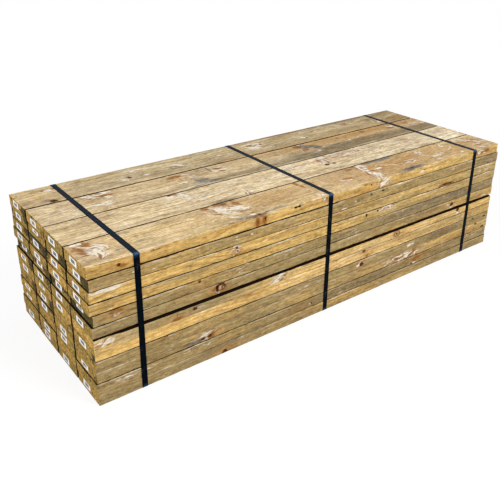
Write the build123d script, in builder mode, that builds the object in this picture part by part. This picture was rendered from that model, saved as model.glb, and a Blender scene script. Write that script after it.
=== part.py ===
from build123d import *
import os

os.makedirs("parts", exist_ok=True)

# Sleeper
sleeper_length = 2400.0
sleeper_width = 200.0
sleeper_thickness = 50.0
arris_radius = 2.5

# Stack
course_count = 12
column_letters = "abcd"
column_gap = 6.0
side_spread = 1.0

# Near ends stand back by these shares of the stagger, lowest course first
end_stagger = 9.0
setback_shares = (0.30, 0.10, 0.35, 0.15, 0.40, 0.20, 0.25, 1.00, 0.00, 0.25, 0.55, 0.20)
end_spread = 2.0
far_trim = 8.0
far_trim_shares = (0.00, 0.20, 0.00, 0.35, 0.10, 0.30, 0.00, 0.45, 0.10, 0.25, 0.00, 1.00)

# Wane along the upper front arris of one front sleeper
wane_course_count = 6
wane_height = 13.0
wane_depth = 32.0
wane_bulge = 2.0
wane_start = 12.0
wane_taper = 110.0
wane_start_share = 0.12
wane_full_share = 1.0

# Straps
strap_width = 25.0
strap_thickness = 0.9
strap_place_shares = (0.083, 0.483, 0.912)
strap_overlap = 130.0

# Strap seals on the hidden back side
seal_length = 44.0
seal_thickness = 0.9
seal_lip = 6.0
seal_course_count = 5
notch_width = 5.0
notch_depth = 3.0
notch_place_share = 0.22

# Labels on the near ends, by column, lowest course first
label_width = 70.0
label_height = 28.0
label_thickness = 0.4
label_offset = 14.0
label_spread = 6.0
label_lift = 4.0
label_rows = {
    "a": "x.x.x.xxxxxx",
    "b": "x.xx.xxxxxxx",
    "c": "xx.xxxxxxxxx",
    "d": "x.xx.xxxxxxx",
}

cut_overrun = 5.0

# Derived sizes
column_count = len(column_letters)
column_pitch = sleeper_width + column_gap
half_width = (column_count * sleeper_width + (column_count - 1) * column_gap) / 2 + side_spread
stack_height = course_count * sleeper_thickness
stack_middle = strap_thickness + stack_height / 2
back_rise = strap_thickness + seal_thickness
middle_y = -back_rise / 2
near_end = -sleeper_length / 2
seal_outside = half_width + 2 * strap_thickness + seal_thickness


def scatter(course, column, course_step, column_step, steps):
    """Returns a share from -1 to 1 that changes from one sleeper to the next."""
    return 2 * ((course * course_step + column * column_step + 1) % steps) / (steps - 1) - 1


def sleeper_place(course, column):
    """Returns the near end, the far end and the middle of the section of one sleeper."""
    near_share = (scatter(course, column, 3, 5, 7) + 1) / 2
    far_share = (scatter(course, column, 5, 2, 7) + 1) / 2
    setback = end_stagger * setback_shares[course - 1] + end_spread * near_share
    trim = far_trim * far_trim_shares[course - 1] + end_spread * far_share
    side = column_pitch * (column - (column_count - 1) / 2) + side_spread * scatter(course, column, 4, 3, 5)
    height = strap_thickness + sleeper_thickness * (course - 1 / 2)
    return near_end + setback, near_end + sleeper_length - trim, middle_y + side, height


# Sleepers
for course in range(1, course_count + 1):
    for column in range(column_count):
        start, end, side, height = sleeper_place(course, column)
        with BuildPart() as sleeper:
            with BuildSketch(Plane.YZ.offset(start)):
                with Locations((side, height)):
                    RectangleRounded(sleeper_width, sleeper_thickness, arris_radius)
            extrude(amount=end - start)
            if course == wane_course_count and column == 0:
                face_y = side - sleeper_width / 2
                top_z = height + sleeper_thickness / 2
                stations = (
                    (start + wane_start, wane_start_share),
                    (start + wane_start + wane_taper, wane_full_share),
                    (end + cut_overrun, wane_full_share),
                )
                for station, share in stations:
                    low = (face_y, top_z - wane_height * share)
                    high = (face_y + wane_depth * share, top_z)
                    crown = (
                        (low[0] + high[0]) / 2 - wane_bulge * share * wane_height / wane_depth,
                        (low[1] + high[1]) / 2 + wane_bulge * share,
                    )
                    with BuildSketch(Plane.YZ.offset(station)):
                        with BuildLine():
                            ThreePointArc(low, crown, high)
                            Polyline(
                                high,
                                (high[0], top_z + cut_overrun),
                                (face_y - cut_overrun, top_z + cut_overrun),
                                (face_y - cut_overrun, low[1]),
                                low,
                            )
                        make_face()
                loft(ruled=True, mode=Mode.SUBTRACT)
        name = f"sleeper_{course:02d}{column_letters[column]}"
        sleeper.part.label = name
        export_step(sleeper.part, f"parts/{name}.step")

# Straps, each a closed band whose ends overlap on the back side
seal_height = strap_thickness + sleeper_thickness * (seal_course_count - 1 / 2)
for number, share in enumerate(strap_place_shares, start=1):
    strap_x = near_end + sleeper_length * share
    inner_radius = arris_radius
    outer_radius = arris_radius + strap_thickness
    with BuildPart() as strap:
        with BuildSketch(Plane.YZ.offset(strap_x - strap_width / 2)):
            with Locations((middle_y, stack_middle)):
                RectangleRounded(
                    2 * (half_width + strap_thickness), stack_height + 2 * strap_thickness, outer_radius
                )
                RectangleRounded(2 * half_width, stack_height, inner_radius, mode=Mode.SUBTRACT)
            with Locations((middle_y + half_width + strap_thickness, seal_height)):
                Rectangle(strap_thickness, strap_overlap, align=(Align.MIN, Align.CENTER))
        extrude(amount=strap_width)
    strap.part.label = f"strap_{number}"
    export_step(strap.part, f"parts/strap_{number}.step")

    # Seal, a sleeve folded round both layers of the strap
    with BuildPart() as seal:
        with BuildSketch(Plane.XY.offset(seal_height - seal_length / 2)):
            with Locations((strap_x, middle_y + half_width - seal_thickness)):
                Rectangle(
                    strap_width + 2 * seal_thickness,
                    2 * strap_thickness + 2 * seal_thickness,
                    align=(Align.CENTER, Align.MIN),
                )
            with Locations((strap_x, middle_y + half_width)):
                Rectangle(
                    strap_width, 2 * strap_thickness, align=(Align.CENTER, Align.MIN), mode=Mode.SUBTRACT
                )
            with Locations((strap_x, middle_y + half_width - seal_thickness - cut_overrun)):
                Rectangle(
                    strap_width - 2 * seal_lip,
                    seal_thickness + cut_overrun,
                    align=(Align.CENTER, Align.MIN),
                    mode=Mode.SUBTRACT,
                )
        extrude(amount=seal_length)
        with BuildSketch(Plane.XZ.offset(-(middle_y + seal_outside + cut_overrun))):
            for side_share in (-1, 1):
                edge_x = strap_x + side_share * (strap_width / 2 + seal_thickness)
                for place_share in (-notch_place_share, notch_place_share):
                    notch_z = seal_height + seal_length * place_share
                    with BuildLine():
                        Polyline(
                            (edge_x, notch_z - notch_width / 2),
                            (edge_x - side_share * notch_depth, notch_z),
                            (edge_x, notch_z + notch_width / 2),
                            close=True,
                        )
                    make_face()
        extrude(amount=2 * cut_overrun + 2 * back_rise, mode=Mode.SUBTRACT)
    seal.part.label = f"strap_seal_{number}"
    export_step(seal.part, f"parts/strap_seal_{number}.step")

# Labels, thin plates flat on the near ends
with BuildPart() as labels:
    for column, letter in enumerate(column_letters):
        for course, mark in enumerate(label_rows[letter], start=1):
            if mark != "x":
                continue
            start, end, side, height = sleeper_place(course, column)
            label_y = side + label_offset + label_spread * scatter(course, column, 4, 1, 9)
            label_z = height + label_lift * scatter(course, column, 2, 5, 7)
            with BuildSketch(Plane.YZ.offset(start - label_thickness)):
                with Locations((label_y, label_z)):
                    Rectangle(label_width, label_height)
            extrude(amount=label_thickness)
labels.part.label = "end_labels"
export_step(labels.part, "parts/end_labels.step")
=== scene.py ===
import math
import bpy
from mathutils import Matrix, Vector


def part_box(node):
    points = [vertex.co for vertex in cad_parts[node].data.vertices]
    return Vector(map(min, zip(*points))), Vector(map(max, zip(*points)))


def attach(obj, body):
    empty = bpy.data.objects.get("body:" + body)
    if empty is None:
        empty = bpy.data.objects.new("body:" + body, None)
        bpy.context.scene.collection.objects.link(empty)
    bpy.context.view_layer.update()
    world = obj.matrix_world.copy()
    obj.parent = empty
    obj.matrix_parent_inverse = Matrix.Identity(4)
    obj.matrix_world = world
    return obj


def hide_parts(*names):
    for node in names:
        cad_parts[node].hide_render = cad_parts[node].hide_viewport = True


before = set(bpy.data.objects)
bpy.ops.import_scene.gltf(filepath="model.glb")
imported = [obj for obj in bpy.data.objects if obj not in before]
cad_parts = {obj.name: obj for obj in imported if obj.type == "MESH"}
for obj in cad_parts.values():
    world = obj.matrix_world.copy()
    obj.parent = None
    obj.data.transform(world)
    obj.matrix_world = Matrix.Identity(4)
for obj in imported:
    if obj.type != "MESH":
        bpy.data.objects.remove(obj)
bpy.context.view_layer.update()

from types import SimpleNamespace

import bpy
import numpy as np
from mathutils import Matrix, Vector

bl_info = {
    "name": "Strapped sleeper bundle",
    "version": (1, 0, 0),
    "blender": (4, 5, 0),
    "location": "3D View > Sidebar > Bundle",
    "description": "Dresses a strapped bundle of sawn pine sleepers",
    "category": "Object",
}

MM = 0.001

COURSES = range(1, 13)
COLUMNS = "abcd"
STRAPS = ("strap_1", "strap_2", "strap_3")
SEALS = ("strap_seal_1", "strap_seal_2", "strap_seal_3")

# Sides of a sleeper in the order in which its section runs round. An arris has the number
# of the side that follows it.
UNDER, BACK, TOP, FRONT = range(4)
LOWER_FRONT, UPPER_FRONT = UNDER, FRONT

# Channels of the marks. Gold takes away from olive.
PALE, BROWN, BLUE, DARK, GREY, OLIVE, CREAM, TAN = range(8)
CHANNELS = {
    "pale": PALE, "brown": BROWN, "blue": BLUE, "dark": DARK, "grey": GREY,
    "olive": OLIVE, "gold": OLIVE, "cream": CREAM, "tan": TAN,
}

# Counts of points. A sleeper without listed marks has its stations further apart, and
# each side that shows is coarser or finer than the step across. Hidden sides have few points,
# fewer in the outer sleepers than inside the stack, where the stations are few.
UNDRAWN_COARSE = 2.2
SIDE_COARSE = (2.0, 1.3, 0.92, 1.0)
HIDDEN_POINTS = (8, 2, 8, 2)
INNER_POINTS = (11, 3, 11, 3)
INNER_STATIONS = 40
ARRIS_POINTS = 5
INNER_ARRIS_POINTS = 3
WANE_POINTS = 11

# Rings that close an end, as shares of its size
END_RINGS = np.array([0.12, 0.28, 0.44, 0.58, 0.7, 0.8, 0.89, 0.95, 1.0])

# Edges that turn by more than this are sharp
CREASE = math.radians(34)

# Wear of the long arrises: the least there is, by which shares it rises and falls over which
# lengths, how full the round is, the count of nicks on an arris and the deepest nick
LEAST_WEAR = 0.7 * MM
SLOW_WEAR = 0.28
SLOW_WAVE = 500 * MM
SHORT_WEAR = 0.15
SHORT_WAVE = 90 * MM
ARRIS_FULLNESS = 0.72
NICK_COUNT = 14
NICK_DEPTH = 1.9 * MM

# How round the front arrises are at the joint above each course, at the near and far end in mm
JOINT_ARRIS = (
    (0.8, 2.2), (4.0, 3.0), (0.8, 1.2), (4.0, 2.6), (0.8, 3.0), (4.8, 4.4),
    (2.8, 2.4), (4.0, 2.8), (4.0, 3.2), (2.6, 2.4), (4.4, 4.0), (3.0, 3.0),
)

# The sleeper whose upper front arris is waney: how deep the wane goes down the face and
# across the top, how full its round is, where it starts and how long it takes to open, how
# dark the painted shade from the course above is in the wane, and over which shares of the
# round that shade and the brown bark fade towards the face
WANEY = "06a"
WANE_DOWN = 13 * MM
WANE_ACROSS = 32 * MM
WANE_FULLNESS = 0.35
WANE_START = 12 * MM
WANE_TAPER = 110 * MM
WANE_SHADE = 1.7
WANE_SHADE_FADE = 0.14
BARK_BROWN_FADE = 0.1

# Painted shade and dirt in the joints and gaps, and painted shade on the hidden sides: how dark
# it is, how far round an arris it reaches and over which share of the round it fades
JOINT_SHADE_AND_DIRT = 1.1
SHADE_AND_DIRT_REACH = 0.85
SHADE_AND_DIRT_FADE = 0.3

# Tight joints of the front by the course below: share of the painted shade and dirt at the near
# and far end
TIGHT_JOINTS = {1: (0.25, 0.9), 3: (0.25, 0.4), 5: (0.3, 1.0)}

# The sleeper whose upper front arris is clean from some way along, and how far the painted
# shade and dirt reach there
LEDGE = "11a"
LEDGE_START = 1200 * MM
LEDGE_REACH = 0.3

# Width of the pale painted highlight along the top of a front face, where its arris catches the
# light, and how much stronger pale, brown and blue marks are on the tops
EDGE_HIGHLIGHT = 5 * MM
TOP_GAIN = 1.25

# How weathered each front sleeper is at its near and its far end, lowest course first
FRONT_TONES = (
    (0.95, 0.75), (0.62, 0.95), (0.72, 0.35), (0.72, 0.80), (0.00, 0.45), (0.28, 0.42),
    (0.86, 0.55), (0.62, 1.05), (0.10, 0.56), (0.04, 0.42), (0.58, 0.72), (0.16, 0.18),
)

# Front sleepers of paler wood: course and lightness, where one half is usual
FRONT_LIGHT = {5: 0.75, 6: 0.75}

# How weathered and how bleached the top of each column is at its near and its far end; part of
# the bleaching is painted sky sheen
TOP_TONES = {
    "a": ((0.20, 0.30), (0.42, 0.38)),
    "b": ((0.22, 0.20), (0.55, 0.85)),
    "c": ((0.24, 0.42), (0.60, 0.35)),
    "d": ((0.45, 0.80), (0.40, 0.28)),
}

# The log that a sleeper is sawn from: how far its heart lies aside at most, how far above or
# below the middle of the section, how much it leans, and how far the noises of one course
# and one column lie from those of the next
HEART_ASIDE = 70 * MM
HEART_LEAST = 35 * MM
HEART_MOST = 110 * MM
HEART_LEAN = 0.012
COURSE_STEP = 3.7
COLUMN_STEP = 11.3

# Depth of the slow unevenness of a sawn side
UNEVEN_DEPTH = 0.18 * MM

# How fast a mark fades outwards from its middle
MARK_FALL = 0.6

# Knots: how much less a distance counts along the grain than across it, how far in radii a
# knot's own pattern and the bent grain round it reach, how much the grain bends, and how deep
# a knot is pressed in
KNOT_OVAL = 0.8
KNOT_REACH = 3.2
BEND_REACH = 1.9
GRAIN_BEND = 0.9
KNOT_DEPTH = 0.5 * MM

# Scars: how far in times the ellipse torn fibres reach, the strength of the wash, the area in
# square mm for each streak, the fewest and the most streaks, how far they scatter, and how
# far apart their patterns lie
SCAR_REACH = 2.0
SCAR_WASH = 0.55
SCAR_AREA = 150
SCAR_STREAKS = (4, 12)
SCAR_SPREAD = 0.42
SCAR_STEP = 0.37

# Kinds of mark on the sides without listed marks, and how many on each
CHANCE_KINDS = (
    "knot", "live knot", "scar", "scar", "pale", "brown", "blue", "dark", "tan", "olive",
)
CHANCE_COUNT = 8

# Marks on the front faces by course and kind: place from the near end in mm, share of the
# height, half length and half height in mm, strength, and for some the slant in radians.
# A knot gives its radius in mm instead, below zero where it is live and paler than the wood.
FRONT_MARKS = {
    12: {
        "knot": ((125, 0.48, 6),),
        "scar": (
            (1510, 0.5, 40, 16, 0.8, 0.4), (2260, 0.6, 44, 14, 0.9, 0.2), (1122, 0.7, 14, 12, 0.8, 1.3),
        ),
        "pale": (
            (1118, 0.70, 10, 8, 0.8), (1500, 0.55, 34, 20, 0.9), (1769, 0.45, 12, 8, 0.9),
            (1924, 0.84, 12, 7, 0.8), (2240, 0.62, 30, 14, 0.7),
        ),
        "brown": (
            (750, 0.5, 9, 20, 0.9), (788, 0.5, 10, 20, 0.9), (2200, 0.6, 20, 10, 0.7),
            (140, 0.36, 18, 6, 0.7), (1478, 0.20, 20, 6, 0.7), (1786, 0.58, 8, 5, 0.7),
            (2300, 0.55, 16, 14, 0.6),
        ),
        "blue": ((736, 0.98, 40, 5, 0.8), (772, 1.0, 22, 6, 0.8), (1660, 0.96, 45, 5, 0.9)),
        "dark": (
            (752, 0.4, 6, 14, 0.62), (790, 0.6, 6, 13, 0.66), (273, 0.82, 26, 2.5, 1.0),
            (955, 0.74, 9, 6, 0.9), (976, 0.76, 9, 5, 0.9), (1378, 0.86, 10, 4, 0.9),
            (1411, 0.66, 5, 6, 0.9), (1536, 0.38, 6, 4, 0.7),
        ),
        "tan": (
            (762, 0.4, 50, 24, 0.3), (1480, 0.3, 160, 20, 0.5), (2300, 0.5, 60, 24, 0.4),
            (150, 0.5, 220, 40, 0.35), (769, 0.4, 30, 24, 0.9),
        ),
    },
    11: {
        "pale": (
            (176, 0.58, 7, 3, 0.7), (262, 0.3, 10, 4, 0.7), (640, 0.5, 8, 20, 0.5), (716, 0.6, 9, 4, 0.8),
            (1228, 0.18, 26, 4, 0.7), (1250, 0.3, 12, 4, 0.6),
        ),
        "dark": (
            (1411, 0.70, 10, 6, 0.75), (1489, 0.74, 10, 6, 0.75), (1990, 0.06, 14, 5, 0.8),
            (2310, 0.12, 12, 4, 0.8), (2370, 0.14, 16, 4, 0.7),
        ),
        "olive": ((2330, 0.5, 90, 40, 0.3),),
    },
    10: {
        "knot": ((644, 0.74, 7), (648, 0.42, 4)),
        "scar": ((60, 0.85, 60, 7, 0.8, 0.05), (640, 0.7, 20, 12, 0.8, 0.3)),
        "pale": (
            (60, 0.86, 62, 8, 1.0), (100, 0.08, 14, 4, 0.7), (640, 0.72, 22, 10, 1.0),
            (646, 0.4, 10, 10, 0.9), (1330, 0.45, 24, 10, 0.4), (1925, 0.6, 12, 6, 0.5),
            (2290, 0.4, 60, 6, 0.6),
        ),
        "brown": ((26, 0.42, 14, 3, 0.6), (642, 0.12, 9, 6, 0.9), (1980, 0.16, 50, 8, 1.0)),
        "dark": ((1962, 0.16, 20, 6, 1.1), (2002, 0.18, 18, 5, 1.0)),
        "tan": ((642, 0.3, 26, 18, 0.6),),
        "olive": ((1500, 0.5, 420, 40, 0.15),),
        "gold": ((330, 0.5, 230, 40, 0.2),),
    },
    9: {
        "knot": ((1574, 0.74, -8),),
        "scar": ((1545, 0.75, 44, 9, 0.8, 0.1),),
        "pale": (
            (1540, 0.9, 36, 5, 1.0), (1580, 0.62, 40, 12, 0.5), (1960, 0.95, 26, 3, 0.7),
            (2330, 0.95, 60, 3, 0.7),
        ),
        "dark": ((958, 0.9, 20, 4, 0.7), (1396, 0.7, 7, 10, 1.0), (1473, 0.8, 7, 8, 0.9)),
        "olive": ((560, 0.92, 420, 16, 0.5),),
        "gold": ((560, 0.2, 330, 16, 0.3), (1040, 0.5, 240, 50, 0.22)),
    },
    8: {
        "knot": ((456, 0.8, 5),),
        "pale": (
            (95, 0.5, 16, 12, 0.6), (460, 0.5, 8, 6, 0.5), (700, 0.95, 24, 2, 0.7),
            (936, 0.85, 6, 4, 0.6), (1214, 0.8, 9, 5, 0.6), (1560, 0.3, 10, 6, 0.5),
            (1640, 0.7, 40, 8, 0.35),
        ),
        "brown": (
            (112, 0.72, 9, 4, 0.9), (74, 0.74, 10, 4, 0.8), (86, 0.92, 26, 6, 0.9),
            (104, 0.6, 20, 9, 0.5), (482, 0.38, 5, 4, 0.6), (1217, 0.86, 12, 5, 0.7),
        ),
        "blue": ((900, 0.85, 6, 4, 0.6),),
        "dark": ((590, 0.5, 18, 2, 0.6), (956, 0.88, 6, 3, 0.5)),
        "tan": ((95, 0.6, 50, 22, 0.5), (470, 0.5, 40, 16, 0.4)),
        "olive": ((1900, 0.5, 420, 40, 0.25),),
    },
    7: {
        "knot": ((566, 0.56, 19), (2047, 0.5, 9)),
        "scar": ((560, 0.4, 20, 14, 0.6, 1.0), (2040, 0.45, 22, 12, 0.6, 0.4)),
        "pale": (
            (556, 0.2, 9, 8, 1.0), (1139, 0.28, 8, 6, 0.8), (2014, 0.58, 12, 5, 0.8),
            (2044, 0.34, 11, 8, 1.1), (2080, 0.2, 18, 4, 0.6), (2320, 0.2, 50, 6, 0.6),
        ),
        "brown": ((536, 0.6, 12, 10, 0.7), (1484, 0.08, 26, 4, 0.8)),
        "dark": ((546, 0.68, 5, 18, 0.9), (1768, 0.6, 8, 5, 0.5)),
        "tan": ((545, 0.5, 50, 22, 0.7), (2050, 0.5, 50, 20, 0.5)),
        "gold": ((2200, 0.5, 190, 40, 0.3),),
    },
    6: {
        "knot": ((437, 0.48, 7.5), (1624, 0.44, -15), (2103, 0.58, 8)),
        "scar": (
            (42, 0.45, 34, 12, 0.9, 0.45), (870, 0.5, 44, 14, 1.0, 0.4), (1630, 0.45, 24, 14, 0.5, 0.3),
            (2100, 0.4, 18, 12, 0.5, 0.4),
        ),
        "pale": (
            (42, 0.5, 34, 11, 1.1), (868, 0.46, 42, 13, 1.3, 0.5), (985, 0.8, 22, 4, 0.6),
            (1690, 0.84, 14, 5, 0.9), (1600, 0.1, 18, 4, 0.7), (1826, 0.6, 16, 16, 0.5),
            (2101, 0.24, 12, 7, 1.0), (2250, 0.12, 22, 4, 0.6),
        ),
        "brown": (
            (58, 0.22, 16, 6, 0.7), (356, 0.16, 22, 7, 0.8), (902, 0.1, 14, 5, 0.5),
            (1668, 0.4, 16, 12, 0.5),
        ),
        "dark": (
            (8, 0.1, 9, 3, 0.8), (353, 0.72, 3, 6, 0.9), (354, 0.4, 3, 8, 0.6), (862, 0.62, 30, 1.6, 0.7),
        ),
        "cream": ((1500, 0.5, 520, 50, 0.2), (60, 0.5, 100, 40, 0.2)),
        "tan": ((356, 0.3, 40, 18, 0.6), (1650, 0.5, 70, 24, 0.4), (60, 0.3, 50, 16, 0.4)),
        "olive": ((430, 0.5, 260, 60, 0.75),),
        "gold": ((1500, 0.5, 560, 50, 0.3),),
    },
    5: {
        "knot": ((1396, 0.84, 7),),
        "pale": ((1900, 0.25, 18, 4, 0.6),),
        "brown": (
            (690, 0.92, 40, 5, 0.6), (868, 0.5, 5, 12, 0.5), (1420, 0.2, 9, 6, 0.9),
            (1736, 0.45, 6, 4, 0.6), (1712, 0.86, 5, 3, 0.6),
        ),
        "blue": ((1396, 0.84, 13, 8, 0.7),),
        "dark": (
            (566, 0.74, 4, 3, 0.6), (590, 0.7, 3, 2, 0.5), (1440, 0.04, 10, 3, 0.7),
            (1976, 0.3, 10, 3, 0.5),
        ),
        "cream": ((1250, 0.5, 420, 50, 0.22),),
        "tan": ((690, 0.85, 110, 14, 0.5), (1420, 0.4, 40, 20, 0.5)),
        "gold": ((1200, 0.5, 600, 50, 0.25),),
    },
    4: {
        "knot": ((1388, 0.48, 9),),
        "scar": (
            (1372, 0.45, 18, 10, 0.7, 0.4), (1745, 0.55, 30, 10, 0.6, 0.2), (1010, 0.5, 36, 10, 0.4, 0.3),
        ),
        "pale": (
            (740, 0.2, 46, 4, 0.5), (1000, 0.45, 34, 14, 0.4), (1366, 0.42, 12, 6, 1.0),
            (1728, 0.55, 12, 7, 0.9), (1758, 0.55, 12, 6, 0.7),
        ),
        "brown": ((520, 0.62, 190, 3, 0.35), (620, 0.4, 170, 3, 0.35), (940, 0.6, 90, 3, 0.35)),
        "dark": (
            (1046, 0.6, 18, 6, 0.4), (2048, 0.5, 10, 5, 0.5), (2256, 0.7, 9, 6, 0.7),
            (2362, 0.5, 14, 5, 0.8), (1450, 0.9, 9, 4, 0.5),
        ),
        "tan": ((1388, 0.5, 40, 16, 0.5),),
        "olive": ((1960, 0.5, 130, 30, 0.4),),
    },
    3: {
        "knot": ((505, 0.34, 6),),
        "scar": ((505, 0.55, 34, 13, 0.8, 0.35), (1690, 0.5, 90, 15, 1.0, 0.12)),
        "pale": (
            (508, 0.72, 30, 6, 0.9), (490, 0.2, 10, 6, 0.7), (1462, 0.1, 20, 4, 0.5),
            (1668, 0.52, 14, 18, 1.1), (1730, 0.6, 50, 12, 0.8), (1610, 0.4, 36, 8, 0.5),
            (1860, 0.85, 12, 4, 0.6),
        ),
        "brown": (
            (500, 0.4, 26, 12, 0.9), (380, 0.95, 380, 3, 0.3), (1660, 0.08, 80, 4, 0.6),
            (2140, 0.1, 70, 3, 0.7),
        ),
        "blue": ((440, 0.3, 60, 10, 0.75),),
        "dark": (
            (474, 0.24, 12, 6, 0.8), (1436, 0.72, 18, 6, 0.5), (2292, 0.86, 10, 5, 0.9),
            (2358, 0.2, 14, 7, 0.9),
        ),
        "cream": ((1690, 0.5, 90, 16, 0.9),),
        "tan": ((505, 0.4, 50, 16, 0.8), (1640, 0.2, 160, 12, 0.3), (2200, 0.2, 160, 12, 0.5)),
        "olive": ((720, 0.3, 110, 16, 0.3),),
    },
    2: {
        "knot": ((1073, 0.36, 4),),
        "scar": (
            (130, 0.5, 50, 12, 0.45, 0.1), (1790, 0.25, 26, 11, 0.7, 0.4), (2260, 0.75, 26, 9, 0.7, 0.2),
        ),
        "pale": (
            (118, 0.55, 46, 12, 0.55), (230, 0.6, 34, 10, 0.4), (470, 0.6, 120, 9, 0.4),
            (1066, 0.34, 7, 4, 0.9), (1792, 0.16, 10, 6, 1.0), (2266, 0.76, 12, 5, 1.0),
            (2230, 0.86, 24, 3, 0.5),
        ),
        "brown": ((142, 0.28, 12, 5, 0.6), (1800, 0.62, 44, 8, 0.6)),
        "dark": ((1768, 0.14, 10, 5, 0.8),),
        "tan": ((1800, 0.6, 90, 14, 0.6),),
        "olive": ((1500, 0.5, 300, 30, 0.3),),
    },
    1: {
        "knot": ((577, 0.1, 10),),
        "pale": ((800, 0.5, 30, 6, 0.4), (1500, 0.6, 40, 6, 0.4)),
        "brown": ((577, 0.16, 20, 7, 0.6),),
        "tan": ((577, 0.2, 50, 14, 0.6),),
        "gold": ((1230, 0.5, 420, 50, 0.35),),
    },
}

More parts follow.
